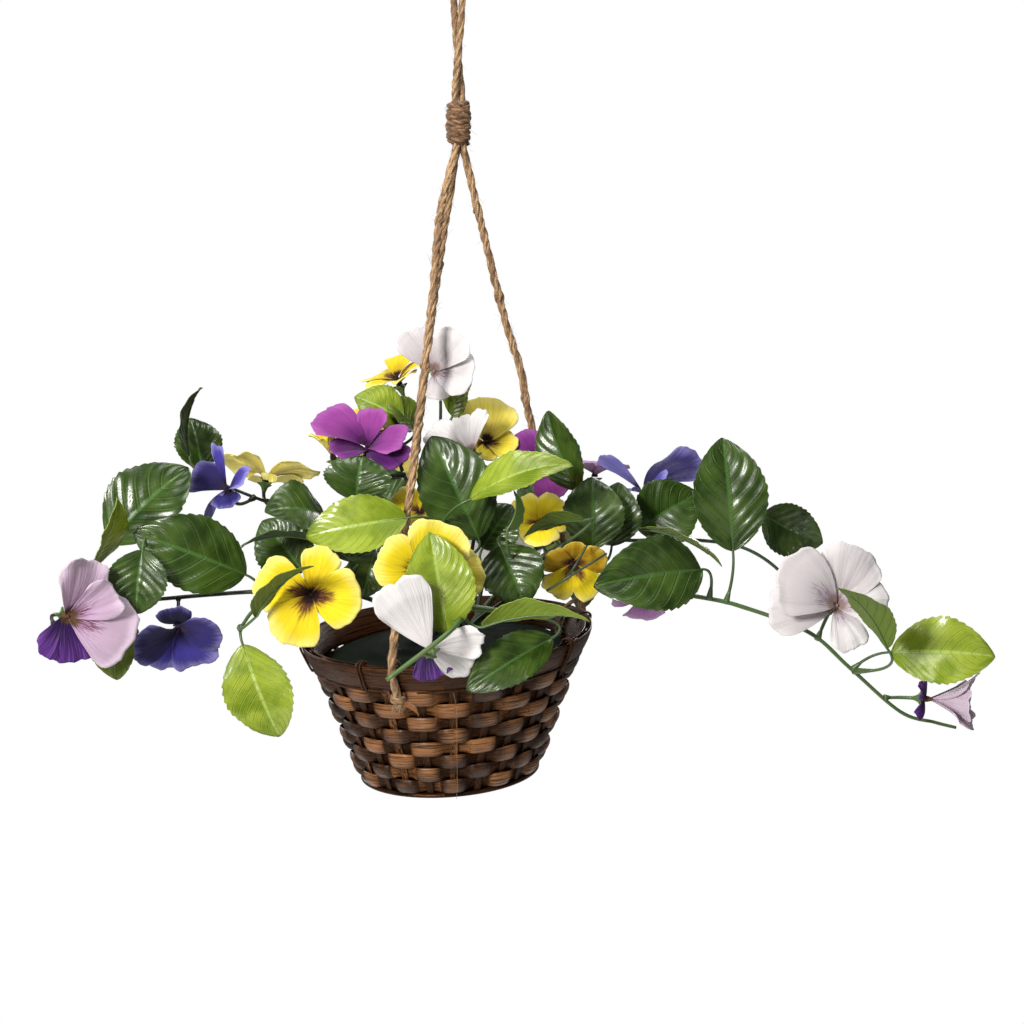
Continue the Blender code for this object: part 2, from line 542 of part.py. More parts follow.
def bundle_spot(angle, height):
    """A rope's place among the three that share the binding."""
    return Vector((0.0, 0.0, height)) + around(angle, BUNDLE_RADIUS, 0.0)


def build_leg(name, leg, home, scratch):
    """A rope from the binding to the rim: down outside the hoops, knotted below them, its end
    led in under the hoops, up inside and over to the standing part."""
    angle, bundle, via = leg
    lean = basket_matrix()
    rim_to_world = Matrix.Translation(RIM_CENTRE)

    def by_rim(radius, height):
        return rim_to_world @ (lean @ around(angle, radius * MM, height * MM))

    top = bundle_spot(bundle, WHIPPING[0] + 16.0 * MM)
    leave = bundle_spot(bundle, WHIPPING[0] - 2.0 * MM)
    standing = [top, leave] + [RIM_CENTRE + spot(place) for place in via]
    standing += [by_rim(114.8, 5.0), by_rim(114.8, -3.0), by_rim(106.4, -21.5), by_rim(104.8, -26.0)]
    tail = [by_rim(104.8, -26.0), by_rim(102.5, -22.3), by_rim(97.5, -21.6), by_rim(92.8, -21.2),
            by_rim(93.4, -17.5), by_rim(101.2, -1.0), by_rim(103.6, 2.6), by_rim(113.6, 7.6)]
    knot = bmesh.new()
    bmesh.ops.create_uvsphere(knot, u_segments=8, v_segments=5, radius=4.6 * MM)
    knot.transform(Matrix.Translation(by_rim(104.4, -27.0)))
    mesh = bpy.data.meshes.new("knot")
    knot.to_mesh(mesh)
    knot.free()
    fray = tube("fray", [by_rim(104.4, -27.0), by_rim(104.2, -36.0)], 2.4 * MM, scratch, 6, 0.7)
    pieces = [tube("standing", standing, ROPE_RADIUS, scratch, 6),
              tube("tail", tail, TAIL_RADIUS, scratch, 6), add_object("knot", mesh, scratch), fray]
    return union(name, pieces, material("jute", JUTE, 0.9), home)


def build_whipping(home):
    """The wound binding: a sleeve of turns round the ropes."""
    bottom, top = WHIPPING
    turns = 4
    step = (top - bottom) / turns
    profile = []
    for k in range(turns):
        z = top - k * step
        profile += [(WHIPPING_RADIUS - 0.9 * MM, z), (WHIPPING_RADIUS, z - 0.5 * step)]
    profile += [(WHIPPING_RADIUS - 0.9 * MM, bottom), (WHIPPING_BORE, bottom), (WHIPPING_BORE, top)]
    sleeve = turned("rope_whipping", profile, 12, home, True)
    sleeve.data.materials.append(material("jute", JUTE, 0.9))
    sleeve.data.shade_smooth()


def build_hanging_loop(home):
    """The doubled rope above the binding: it twists half a turn, then opens into a loop whose
    inner top is the origin."""
    start = WHIPPING[0] + 17.0 * MM
    twist_end = -62.0 * MM
    spread = LOOP_RADIUS + 0.25 * MM
    arc_centre = -LOOP_OPENING / 2
    arc_radius = LOOP_OPENING / 2 + LOOP_RADIUS
    side = []
    for k in range(6):
        t = k / 5
        turn = math.pi * t
        z = start + (twist_end - start) * t
        side.append(Vector((spread * math.cos(turn), spread * math.sin(turn), z)))
    flare = [Vector((-spread - (arc_radius - spread) * s, 0.0, z * MM))
             for s, z in ((0.12, -52), (0.45, -38), (0.82, -24))]
    arc = []
    for k in range(8):
        turn = math.pi * (1 - k / 7)
        arc.append(Vector((arc_radius * math.cos(turn), 0.0,
                           arc_centre + arc_radius * math.sin(turn))))
    half = side + flare
    other = [Vector((-p.x, -p.y, p.z)) for p in reversed(half)]
    loop = tube("hanging_loop", half + arc + other, LOOP_RADIUS, home, 6)
    loop.data.materials.append(material("jute", JUTE, 0.9))
    loop.data.shade_smooth()


def stem_foot(foot, height):
    return Vector((foot[0], foot[1], height)) * MM


def stem_sides(name):
    """Long stems are rounder."""
    return 6 if len(STEMS[name][2]) > 6 else 4


def stem_line(name):
    """The stem's middle line, from its foot in the foam."""
    foot, _, via = STEMS[name]
    return [stem_foot(foot, STEM_FOOT), stem_foot(foot, 5.0)] + [spot(p) for p in via]


def nearest(line, place):
    """The place on the stem's line nearest to a point, above the foam."""
    best = None
    for a, b in zip(line[1:], line[2:]):
        along = b - a
        t = max(0.0, min(1.0, (place - a).dot(along) / along.length_squared))
        found = a + along * t
        if best is None or (found - place).length < (best - place).length:
            best = found
    return best


def leaf_points(base, tip, face, width, teeth, arch, stalk):
    """Midrib and toothed margin of an elliptic leaf, folded a little along its rib, and the
    narrow sheet of its stalk.

    The half width follows sin(pi t^0.9)^0.7; each tooth rises from its notch to a point three
    quarters of the way to the next."""
    axis = tip - base
    ahead = axis.normalized()
    up = (face - ahead * face.dot(ahead)).normalized()
    side = ahead.cross(up)

    def place(t, s):
        half = 0.5 * width * math.sin(math.pi * min(t, 1.0) ** 0.9) ** 0.7
        rise = arch * 4 * t * (1 - t) + 0.22 * abs(s) * half
        return base + axis * t + side * (s * half) + up * rise

    cuts = [0.0] + [(k + 0.35) / (teeth + 0.35) for k in range(1, teeth)] + [1.0]
    points = [place(t, 0.0) for t in cuts[1:]]
    ribs = list(range(teeth))
    pairs = []
    for k, spot_on in enumerate(stalk):
        along = stalk[min(k + 1, len(stalk) - 1)] - stalk[max(k - 1, 0)]
        across = side - along * (side.dot(along) / along.length_squared)
        across = across.normalized() if across.length > 0.3 else up.cross(along).normalized()
        pairs.append((len(points), len(points) + 1))
        points += [spot_on - across * STALK_HALF_WIDTH, spot_on + across * STALK_HALF_WIDTH]
    faces = []
    for (a, b), (c, d) in zip(pairs, pairs[1:]):
        faces += [(a, b, d), (a, d, c)]
    left, right = pairs[-1]
    faces.append((left, right, ribs[0]))
    for s, previous in ((-1, left), (1, right)):
        for k in range(teeth):
            start, end = cuts[k], cuts[k + 1]
            points.append(place(start + 0.78 * (end - start), s * 1.06))
            peak = len(points) - 1
            corners = [(ribs[k], previous, peak)]
            if k:
                corners = [(ribs[k - 1], previous, peak), (ribs[k - 1], peak, ribs[k])]
            if k < teeth - 1:
                points.append(place(end + 0.01, s * 0.86))
                previous = len(points) - 1
                corners.append((peak, previous, ribs[k]))
            faces += [c if s > 0 else c[::-1] for c in corners]
    return points, faces


def build_leaf(row, line, scratch):
    """A leaf blade in one sheet with its stalk, which starts inside the stem."""
    _, _, base, tip, face, width, teeth, arch = row
    base, tip = spot(base), spot(tip)
    ahead = (tip - base).normalized()
    root = nearest(line, base - ahead * 14 * MM)
    reach = (base - root).length
    stalk = bend(root, base - ahead * 0.45 * reach, base, 2)
    points, faces = leaf_points(base, tip, Vector(face), width * MM, teeth, arch * MM, stalk)
    return [blade("leaf", points, faces, scratch, LEAF_THICK)]


def bloom_axes(row):
    """The bloom's place, and its right, up and forward directions."""
    _, _, place, face, roll, _, _ = row
    forward = Vector(face).normalized()
    right = Vector((0, 0, 1)).cross(forward)
    right = (right if right.length > 0.2 else Vector((1, 0, 0))).normalized()
    up = forward.cross(right)
    turn = Matrix.Rotation(math.radians(roll), 3, forward)
    return spot(place), turn @ right, turn @ up, forward


def petal_points(row, petal, layer, phases):
    """A petal's places. The petals of a bloom follow one cupped and waved cone, each a layer in
    front of the last and flared by its own amount more."""
    centre, right, up, forward = bloom_axes(row)
    angle, size, spread, more = petal
    length = row[5] * MM
    flare = math.radians(row[6] + more)
    points = []
    for u, v in PETAL_GRID:
        edge = 0.64 + 0.36 * (1 - abs(u) ** 2.6) ** 0.38
        run = length * size * v * edge
        turn = math.radians(angle + u * spread * (1 + PETAL_BULGE * (1 - v)))
        out = right * math.sin(turn) + up * math.cos(turn)
        wave = math.sin(2 * turn + phases[0]) + 0.5 * math.sin(3 * turn + phases[1])
        share = run / length
        rise = run * math.sin(flare)
        rise += PETAL_CUP * length * math.sin(math.pi * min(share, 1))
        rise += PETAL_WAVE * length * share ** 2 * wave
        rise += layer * (PETAL_LAYER + PETAL_FAN * run) + PETAL_START
        points.append(centre + out * run * math.cos(flare) + forward * rise)
    return points


def build_petals(name, row, chance, scratch):
    """The petals and the small hub that their roots are sunk in."""
    centre, _, _, forward = bloom_axes(row)
    petals = PETAL_SETS.get(name, PETALS)
    phases = (chance.uniform(0, math.tau), chance.uniform(0, math.tau))
    top = centre + forward * (PETAL_START + len(petals) * PETAL_LAYER)
    pieces = [tube("hub", [centre, top], HUB_RADIUS, scratch, 4)]
    for layer, petal in enumerate(petals):
        points = petal_points(row, petal, layer, phases)
        pieces.append(blade("petal", points, PETAL_FACES, scratch))
    return pieces


def build_calyx(row, line, scratch):
    """A star cup of five sepals behind the petals, on its stalk."""
    centre, right, up, forward = bloom_axes(row)
    points = [centre - forward * GAP, centre - forward * 9.0 * MM]
    for k in range(10):
        turn = math.tau * k / 10
        out = right * math.sin(turn) + up * math.cos(turn)
        radius, back = ((6.2, 1.0), (2.8, 2.2))[k % 2]
        points.append(centre + out * radius * MM - forward * back * MM)
    faces = []
    for k in range(10):
        here, following = 2 + k, 2 + (k + 1) % 10
        faces += [(0, following, here), (1, here, following)]
    mesh = bpy.data.meshes.new("calyx")
    mesh.from_pydata([tuple(p) for p in points], [], faces)
    bm = bmesh.new()
    bm.from_mesh(mesh)
    bmesh.ops.recalc_face_normals(bm, faces=bm.faces)
    bm.to_mesh(mesh)
    bm.free()
    back = centre - forward * 5.0 * MM
    root = nearest(line, centre - forward * 34 * MM)
    stalk = bend(back, back - forward * 0.5 * (back - root).length, root, 2)
    return [add_object("calyx", mesh, scratch), tube("stalk", stalk, 1.3 * MM, scratch, 4)]


def build_plant(home, scratch, rim):
    chance = random.Random(RANDOM_SEED)
    green = material("leaf", GREEN_DARK, 0.35)
    for name, row in BLOOMS.items():
        finish = material(row[1] + " petal", PETAL_COLOURS[row[1]], 0.6)
        bloom = union(name, build_petals(name, row, chance, scratch), finish, home)
        seat(bloom, Matrix.Identity(4), rim, finish)
    for name, (_, radius, _) in STEMS.items():
        line = stem_line(name)
        pieces = [tube("stem", line, radius * MM, scratch, stem_sides(name), 0.6)]
        for row in LEAVES:
            if row[0] == name:
                pieces += build_leaf(row, line, scratch)
        for row in BLOOMS.values():
            if row[0] == name:
                pieces += build_calyx(row, line, scratch)
        seat(union(name, pieces, green, home), Matrix.Identity(4), rim, green)


def main():
    remove_objects()
    home = new_collection("trailing pansy hanging basket")
    scratch = new_collection("shapes being joined")
    holes = new_collection("cutters", hidden=True)
    rim = add_object("rim_centre", None, home)
    rim.location = RIM_CENTRE
    bpy.context.view_layer.update()
    build_frame(home, scratch, rim)
    for row in range(WEAVERS):
        build_weaver(row, home, rim)
    build_rims(home, rim)
    build_foam(home, holes, rim)
    build_lashing(home, scratch, rim)
    for name, leg in LEGS.items():
        build_leg(name, leg, home, scratch)
    build_whipping(home)
    build_hanging_loop(home)
    build_plant(home, scratch, rim)
    bpy.data.collections.remove(scratch)
    bpy.context.view_layer.update()


main()
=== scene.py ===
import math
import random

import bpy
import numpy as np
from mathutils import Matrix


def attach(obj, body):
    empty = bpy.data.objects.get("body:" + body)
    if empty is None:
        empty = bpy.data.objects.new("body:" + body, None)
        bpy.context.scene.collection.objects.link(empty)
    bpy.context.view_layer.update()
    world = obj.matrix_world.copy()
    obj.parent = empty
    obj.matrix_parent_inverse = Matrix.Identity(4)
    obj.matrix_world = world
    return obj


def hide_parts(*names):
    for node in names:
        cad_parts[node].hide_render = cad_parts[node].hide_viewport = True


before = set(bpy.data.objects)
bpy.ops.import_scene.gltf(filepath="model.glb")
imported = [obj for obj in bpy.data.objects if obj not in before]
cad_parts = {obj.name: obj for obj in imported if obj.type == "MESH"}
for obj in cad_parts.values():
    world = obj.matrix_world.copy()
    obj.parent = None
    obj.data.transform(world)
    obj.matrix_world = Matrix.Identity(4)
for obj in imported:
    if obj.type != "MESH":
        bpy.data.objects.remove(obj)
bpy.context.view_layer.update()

# Finish of the trailing pansy hanging basket. Metres, +Z up, the origin at the inner top of the
# hanging loop. The plant is laid out from its front view: a place is (across, up, depth) in
# millimetres, measured right of and above the rim's centre in the plane that faces the viewer,
# and depth is how far it lies behind the rim's centre.

MM = 0.001

# The camera and the light

RIM_CENTRE = np.array([-10.3, -5.0, -535.0]) * MM
EYE = np.array([49.3, -1642.0, 410.4]) * MM
EYE_PITCH = math.radians(11.0)
LENS = 78.3
SENSOR_WIDTH = 36.0
FLOOR_HEIGHT = -1.45
FLOOR_RADIUS = 1.2
FLOOR_SIDES = 120
ROOM_LIGHT = 0.15
LIGHT_AIM = RIM_CENTRE + np.array([0.0, 0.0, 0.03])
WHITE = (1.0, 1.0, 1.0)
# Each light: its place, size, watts and colour
LIGHTS = {
    "key": ((-0.95, -1.7, 0.35), 0.45, 54.0, (1.0, 0.98, 0.94)),
    "fill": ((1.5, -1.6, -0.2), 1.0, 2.4, WHITE),
    "top": ((0.1, -0.2, 1.0), 0.7, 14.0, WHITE),
    "back right": ((0.45, 1.8, 0.25), 1.0, 24.0, WHITE),
    "back left": ((-1.4, 1.35, 0.05), 1.0, 14.0, WHITE),
    "low": ((-0.5, -1.5, -0.85), 0.3, 3.5, (1.0, 0.94, 0.86)),
}


def make_camera():
    camera = bpy.data.objects.new("camera", bpy.data.cameras.new("camera"))
    camera.data.lens = LENS
    camera.data.sensor_width = SENSOR_WIDTH
    camera.location = RIM_CENTRE + EYE
    camera.rotation_euler = (math.pi / 2 - EYE_PITCH, 0.0, 0.0)
    bpy.context.scene.collection.objects.link(camera)
    bpy.context.scene.camera = camera


def make_light(name, place, size, watts, colour):
    """A square area light at a place, turned to shine at the aim."""
    light = bpy.data.lights.new(name, "AREA")
    light.size = size
    light.energy = watts
    light.color = colour
    lamp = bpy.data.objects.new(name, light)
    away = np.array(place) - LIGHT_AIM
    lamp.location = place
    level = math.hypot(away[0], away[1])
    lamp.rotation_euler = (math.atan2(level, away[2]), 0.0, math.atan2(away[0], -away[1]))
    bpy.context.scene.collection.objects.link(lamp)


def light_studio():
    """A soft white room. What the camera sees of the room itself is plain white."""
    scene = bpy.context.scene
    scene.view_settings.view_transform = "Standard"
    world = bpy.data.worlds.new("studio")
    scene.world = world
    world.use_nodes = True
    tree = world.node_tree
    room = tree.nodes["Background"]
    room.inputs["Color"].default_value = (1.0, 0.99, 0.97, 1.0)
    room.inputs["Strength"].default_value = ROOM_LIGHT
    backdrop = tree.nodes.new("ShaderNodeBackground")
    backdrop.inputs["Color"].default_value = (*WHITE, 1.0)
    rays = tree.nodes.new("ShaderNodeLightPath")
    choose = tree.nodes.new("ShaderNodeMixShader")
    tree.links.new(rays.outputs["Is Camera Ray"], choose.inputs["Fac"])
    tree.links.new(room.outputs["Background"], choose.inputs[1])
    tree.links.new(backdrop.outputs["Background"], choose.inputs[2])
    tree.links.new(choose.outputs["Shader"], tree.nodes["World Output"].inputs["Surface"])
    for name, settings in LIGHTS.items():
        make_light(name, *settings)


# Shader maths

class Term:
    """A socket of a finish. An expression on terms adds the Math nodes that work it out."""

    def __init__(self, finish, socket):
        self.finish = finish
        self.socket = socket

    def math(self, operation, *values):
        places = dict(enumerate(values))
        return self.finish.node("ShaderNodeMath", places, operation=operation)

    def __add__(self, other):
        return self.math("ADD", self, other)

    def __sub__(self, other):
        return self.math("SUBTRACT", self, other)

    def __rsub__(self, other):
        return self.math("SUBTRACT", other, self)

    def __mul__(self, other):
        return self.math("MULTIPLY", self, other)

    def __abs__(self):
        return self.math("ABSOLUTE", self)

    __radd__ = __add__
    __rmul__ = __mul__

    def fraction(self):
        return self.math("FRACT", self)

    def band(self, low, high):
        """0 below low, 1 above high, and smooth between; high may lie below low."""
        ends = {"From Min": low, "From Max": high, "Value": self}
        return self.finish.node("ShaderNodeMapRange", ends, interpolation_type="SMOOTHSTEP")


class Finish:
    """A material with one Principled shader, whose constants are set on the shader itself."""

    def __init__(self, name, **constants):
        self.material = bpy.data.materials.new(name)
        self.material.use_nodes = True
        self.tree = self.material.node_tree
        self.shader = self.tree.nodes["Principled BSDF"]
        for socket, value in constants.items():
            self.shader.inputs[socket.replace("_", " ")].default_value = value

    def node(self, kind, values=None, output=0, **settings):
        """Any node with its settings: a value for an input is a term, a number or a colour."""
        made = self.tree.nodes.new(kind)
        for setting, value in settings.items():
            setattr(made, setting, value)
        for place, value in (values or {}).items():
            self.put(made.inputs[place], value)
        return Term(self, made.outputs[output])

    def put(self, socket, value):
        if isinstance(value, Term):
            self.tree.links.new(value.socket, socket)
        elif socket.type == "RGBA":
            socket.default_value = (*value, 1.0)
        else:
            socket.default_value = value

    def attribute(self, name):
        return self.node("ShaderNodeAttribute", output="Fac", attribute_name=name)

    def surface_place(self):
        """Across and along the surface, each 0 to 1 or in metres, from its own UV map."""
        uv = self.node("ShaderNodeUVMap", uv_map="surface")
        across = self.node("ShaderNodeSeparateXYZ", {0: uv})
        return across, Term(self, across.socket.node.outputs[1])

    def noise(self, vector, scale, detail, rough=0.5):
        values = {"Vector": vector, "Scale": scale, "Detail": detail, "Roughness": rough}
        return self.node("ShaderNodeTexNoise", values)

    def patches(self, scale, detail):
        """Noise over the object's own coordinates."""
        return self.noise(self.node("ShaderNodeTexCoord", output="Object"), scale, detail)

    def grain(self, x, y, z, detail, rough=0.5):
        """Noise over a place whose three coordinates are terms."""
        return self.noise(self.node("ShaderNodeCombineXYZ", {0: x, 1: y, 2: z}), 1.0, detail, rough)

    def mix(self, share, first, second):
        values = {0: share, 6: first, 7: second}
        return self.node("ShaderNodeMix", values, output=2, data_type="RGBA")

    def bump(self, height, distance):
        return self.node("ShaderNodeBump", {"Height": height, "Distance": distance})

    def feed(self, **sockets):
        for socket, value in sockets.items():
            self.put(self.shader.inputs[socket.replace("_", " ")], value)
        return self.material


# Surfaces

# What a finish can read at each point: whether it is on a sheet's under side, how lime a leaf is, how
# light it is (on petals and on the rope's core partly painted shade and painted light), how brushed
# and how violet a petal is, and how proud of the wall a chip stands, which places its copper wear and
# painted highlight
MARKS = ("under", "lime", "tone", "brush", "violet", "crown")


def unit(vectors):
    return vectors / np.maximum(np.linalg.norm(vectors, axis=-1, keepdims=True), 1e-12)


def swung(angle, first, second):
    """The direction at an angle from the first towards the second, which are square."""
    return np.cos(angle)[..., None] * first + np.sin(angle)[..., None] * second


def between(start, end, share):
    """Places on the straight line from start to end, one for each share."""
    return share[:, None] * (end - start) + start


def coil(turn, wide, deep, height):
    """Places at an angle round an ellipse, each at its height."""
    return np.stack(np.broadcast_arrays(wide * np.cos(turn), deep * np.sin(turn), height), axis=-1)


def run_of(path):
    """How far along the path each of its places lies."""
    return np.concatenate([[0.0], np.cumsum(np.linalg.norm(np.diff(path, axis=0), axis=1))])


class Piece:
    """The surfaces of one piece: points, faces, their places on the UV map, and attributes."""

    def __init__(self, name):
        self.name = name
        self.points = []
        self.faces = []
        self.places = []
        self.marks = []
        self.finishes = []
        self.count = 0

    def put_faces(self, faces, uv, finish):
        self.faces.append(faces + self.count)
        self.places.append(uv)
        self.finishes.append(np.full(len(faces), finish))

    def put_points(self, points, marks):
        flat = points.reshape(-1, 3)
        rows = [np.broadcast_to(marks.get(key, 0.0), len(flat)) for key in MARKS]
        self.points.append(flat)
        self.marks.append(np.stack(rows, axis=1))
        self.count += len(flat)

    def grid(self, points, along=None, across=None, wrap=(False, True), finish=0, caps=False, **marks):
        """A grid of points as quads, joined round in the directions that wrap, with a fan of
        triangles from the middle of each end where it has caps."""
        rows, columns = points.shape[:2]
        along = np.linspace(0, 1, rows + wrap[0]) if along is None else along
        across = np.linspace(0, 1, columns + wrap[1]) if across is None else across
        i, j = np.indices((rows - 1 + wrap[0], columns - 1 + wrap[1]))
        corners = ((i, j), (i, j + 1), (i + 1, j + 1), (i + 1, j))
        quads = np.stack([a % rows * columns + b % columns for a, b in corners], axis=-1)
        uv = np.stack([np.stack([across[b], along[a]], axis=-1) for a, b in corners], axis=-2)
        self.put_faces(quads.reshape(-1, 4), uv.reshape(-1, 4, 2), finish)
        if caps:
            j = np.arange(columns)
            last = (rows - 1) * columns
            middle = rows * columns
            start = np.stack([np.full(columns, middle), (j + 1) % columns, j], axis=1)
            end = np.stack([np.full(columns, middle + 1), last + j, last + (j + 1) % columns], axis=1)
            for fan, place in ((start, along[0]), (end, along[-1])):
                self.put_faces(fan, np.full((columns, 3, 2), (0.5, place)), finish)
            ends = np.stack([points[0].mean(axis=0), points[-1].mean(axis=0)])
            points = np.concatenate([points.reshape(-1, 3), ends])
            marks = {key: np.append(np.ravel(np.broadcast_to(value, rows * columns)),
                                    (np.ravel(value)[0], np.ravel(value)[-1]))
                     for key, value in marks.items()}
        self.put_points(points, marks)

    def sheet(self, points, thickness, under=1.0, **marks):
        """A thin sheet round a grid of points: its upper side, its under side, and its edge."""
        rows, columns = points.shape[:2]
        beside = np.gradient(points, axis=1)
        ahead = np.gradient(points, axis=0)
        normal = unit(np.cross(beside, ahead))
        index = np.arange(rows * columns).reshape(rows, columns)
        quads = np.stack([index[:-1, :-1], index[:-1, 1:], index[1:, 1:], index[1:, :-1]], axis=-1)
        quads = quads.reshape(-1, 4)
        place = np.meshgrid(np.linspace(0, 1, columns), np.linspace(0, 1, rows))
        place = np.stack(place, axis=-1).reshape(-1, 2)
        edge = np.concatenate([index[0, :-1], index[:-1, -1], index[-1, :0:-1], index[:0:-1, 0]])
        after = np.roll(edge, -1)
        back = rows * columns
        rim = np.stack([after, edge, edge + back, after + back], axis=1)
        self.put_faces(quads, place[quads], 0)
        self.put_faces(quads[:, ::-1] + back, place[quads[:, ::-1]], 0)
        self.put_faces(rim, place[rim % back], 0)
        both = np.stack([points + normal * thickness / 2, points - normal * thickness / 2])
        marks = {key: np.tile(np.ravel(np.broadcast_to(value, (rows, columns))), 2)
                 for key, value in marks.items()}
        marks["under"] = np.repeat([0.0, under], back)
        self.put_points(both, marks)

    def tube(self, path, radius, sides=8, finish=0, **marks):
        """A round rod along a path: each ring is the path's place plus the radius times the cosine
        and sine of the angle along two directions square to the path. UV is angle and metres."""
        _, first, second = beside_path(path)
        out = swung(np.arange(sides) * math.tau / sides, first[:, None], second[:, None])
        rings = path[:, None] + out * np.broadcast_to(radius, len(path))[:, None, None]
        self.grid(rings, along=run_of(path), finish=finish, caps=True, **marks)

    def made(self, finishes, slot, nodes):
        """The mesh object, riding on the frame in place of the nodes that it stands for."""
        mesh = bpy.data.meshes.new(self.name)
        points = np.concatenate(self.points)
        corners = np.concatenate([faces.ravel() for faces in self.faces])
        sizes = np.concatenate([np.full(len(faces), faces.shape[1]) for faces in self.faces])
        mesh.vertices.add(len(points))
        mesh.vertices.foreach_set("co", points.astype(np.float32).ravel())
        mesh.loops.add(len(corners))
        mesh.loops.foreach_set("vertex_index", corners.astype(np.int32))
        mesh.polygons.add(len(sizes))
        mesh.polygons.foreach_set("loop_start", (np.cumsum(sizes) - sizes).astype(np.int32))
        mesh.polygons.foreach_set("material_index", np.concatenate(self.finishes).astype(np.int32))
        mesh.polygons.foreach_set("use_smooth", np.ones(len(sizes), bool))
        uv = mesh.uv_layers.new(name="surface")
        places = np.concatenate([place.reshape(-1, 2) for place in self.places])
        uv.data.foreach_set("uv", places.astype(np.float32).ravel())
        marks = np.concatenate(self.marks)
        for key, values in zip(MARKS, marks.T):
            mark = mesh.attributes.new(key, "FLOAT", "POINT")
            mark.data.foreach_set("value", values.astype(np.float32))
        mesh.update(calc_edges=True)
        for finish in finishes:
            mesh.materials.append(finish)
        obj = bpy.data.objects.new(self.name, mesh)
        bpy.context.scene.collection.objects.link(obj)
        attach(obj, "root")
        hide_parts(*nodes)


def beside_path(path):
    """Unit directions along a path and square to it: the first is the cross product with the
    direction in which the path goes least, and the second is square to both."""
    tangent = unit(np.gradient(path, axis=0))
    least = np.linalg.svd(tangent, full_matrices=False)[2][-1]
    first = unit(np.cross(tangent, least))
    return tangent, first, np.cross(tangent, first)


def smooth_path(places, steps):
    """A curve through the places: each span is the cubic whose end slopes are half the distance
    between the neighbours on either side."""
    p = np.array(places, float)
    p = np.vstack([2 * p[0] - p[1], p, 2 * p[-1] - p[-2]])
    a, b, c, d = p[:-3], p[1:-2], p[2:-1], p[3:]
    t = np.linspace(0, 1, steps, endpoint=False)[:, None, None]
    spans = b + 0.5 * t * (c - a + t * (2 * a - 5 * b + 4 * c - d + t * (3 * (b - c) + d - a)))
    return np.vstack([spans.transpose(1, 0, 2).reshape(-1, 3), p[-2]])


def even_path(path, spacing):
    """The same line with places an even distance apart."""
    run = run_of(path)
    at = np.linspace(0, run[-1], max(3, int(run[-1] / spacing) + 1))
    return np.stack([np.interp(at, run, path[:, k]) for k in range(3)], axis=1)


# Ropes

ROPE_RADIUS = 3.1 * MM
TAIL_RADIUS = 1.8 * MM
KNOT_RADIUS = 1.7 * MM
LOOP_RADIUS = 2.7 * MM
# How far along a rope its strands take to go once round
ROPE_PITCH = 34 * MM
TAIL_PITCH = 16 * MM
KNOT_PITCH = 12 * MM
LOOP_PITCH = 30 * MM
WHIPPING_PITCH = 15 * MM
# The core's tone: dark, as painted shade in the hollow between the strands
CORE_SHADE_TONE = 0.1
# Loose fibres: how many, their least and greatest length in millimetres, how far they stand off
LEG_FIBRES = 300
LOOP_FIBRES = 240
WHIPPING_FIBRES = 60
FRAYED_FIBRES = 54
FUZZ_LENGTH = (2.5, 8.0)
FUZZ_LIFT = 0.6
# Each rope: its angle on the rim, its angle among the bundled ropes, and the places between
LEGS = {
    "rope_leg_front": (-18.3, -30.0, ((-5.3, 315, -14), (-12, 243, -34), (-26, 121, -70),
                       (-33, 64, -86))),
    "rope_leg_right": (116.7, 90.0, ((42, 243, 17), (56, 197, 23), (65, 152, 30))),
    "rope_leg_back": (206.7, 210.0, ((-11, 243, 36), (-26, 121, 69))),
}
# How each rope comes down outside the hoops, and how its tail goes in under them, up inside and
# back over them: radius and height
ROPE_END = ((114.8, 5.0), (114.8, -3.0), (106.4, -21.5), (104.8, -26.0))
ROPE_TAIL = ((104.8, -26.0), (102.5, -22.3), (97.5, -21.6), (92.8, -21.2), (93.4, -17.5),
             (101.2, -1.0), (103.6, 2.6), (113.6, 7.6))
# Where each rope has its slubs, as shares of its length
LEG_LUMPS = {
    "rope_leg_front": (0.17, 0.42, 0.52, 0.78),
    "rope_leg_right": (0.155, 0.31, 0.50, 0.67),
    "rope_leg_back": (0.25, 0.6),
}
# A pale fibre hangs down the front of the basket: angle, radius and height
LOOSE_FIBRE = ((4.0, 106, -20), (5.0, 103, -34), (5.2, 92, -66), (5.6, 78, -98), (5.2, 74, -110))
LOOSE_FIBRE_RADIUS = 0.16 * MM
# The binding's bottom and top
WHIPPING = (-172.5 * MM, -139.6 * MM)
WHIPPING_RADIUS = 9.4 * MM
# The turns of the binding: how many, their radius, the cord's radius, the shares of the binding's
# height between which they climb, and the angle that they start from
WHIPPING_TURNS = ((7.0, 7.0, 2.3, 0.06, 0.94, 0.0), (1.7, 7.8, 1.9, 0.12, 0.90, 2.0),
                  (-1.4, 7.9, 1.9, 0.14, 0.86, 0.6), (-0.9, 8.0, 1.7, 0.30, 0.74, 4.0),
                  (1.1, 8.0, 1.7, 0.35, 0.80, 5.0))
BARREL_RADII = np.array([5.4, 6.6, 7.2, 7.4, 7.4, 7.4, 7.2, 6.6, 5.4]) * MM
BUNDLE_RADIUS = 3.75 * MM
LOOP_OPENING = 17.0 * MM
LOOP_TWIST_END = -62.0 * MM
LEAN = math.radians(-3.5)
SKEW = 0.045
LEANT = np.array([[math.cos(LEAN), 0, math.sin(LEAN)], [0, 1, 0],
                  [-math.sin(LEAN), 0, math.cos(LEAN)]])
BASKET_TURN = LEANT @ np.array([[1, 0, SKEW], [0, 1, 0], [0, 0, 1]])


def on_basket(points):
    """From the upright basket to the one that hangs: sheared, leant and moved to its place."""
    return points @ BASKET_TURN.T + RIM_CENTRE


def around(angle, radius, height):
    """A place on the upright basket: angle in degrees from the front towards the right."""
    turn = np.radians(angle)
    return np.stack(np.broadcast_arrays(radius * np.sin(turn), -radius * np.cos(turn), height), -1)


def by_rim(angle, radius, height):
    """The same on the basket that hangs, from millimetres."""
    return on_basket(around(angle, radius * MM, height * MM))


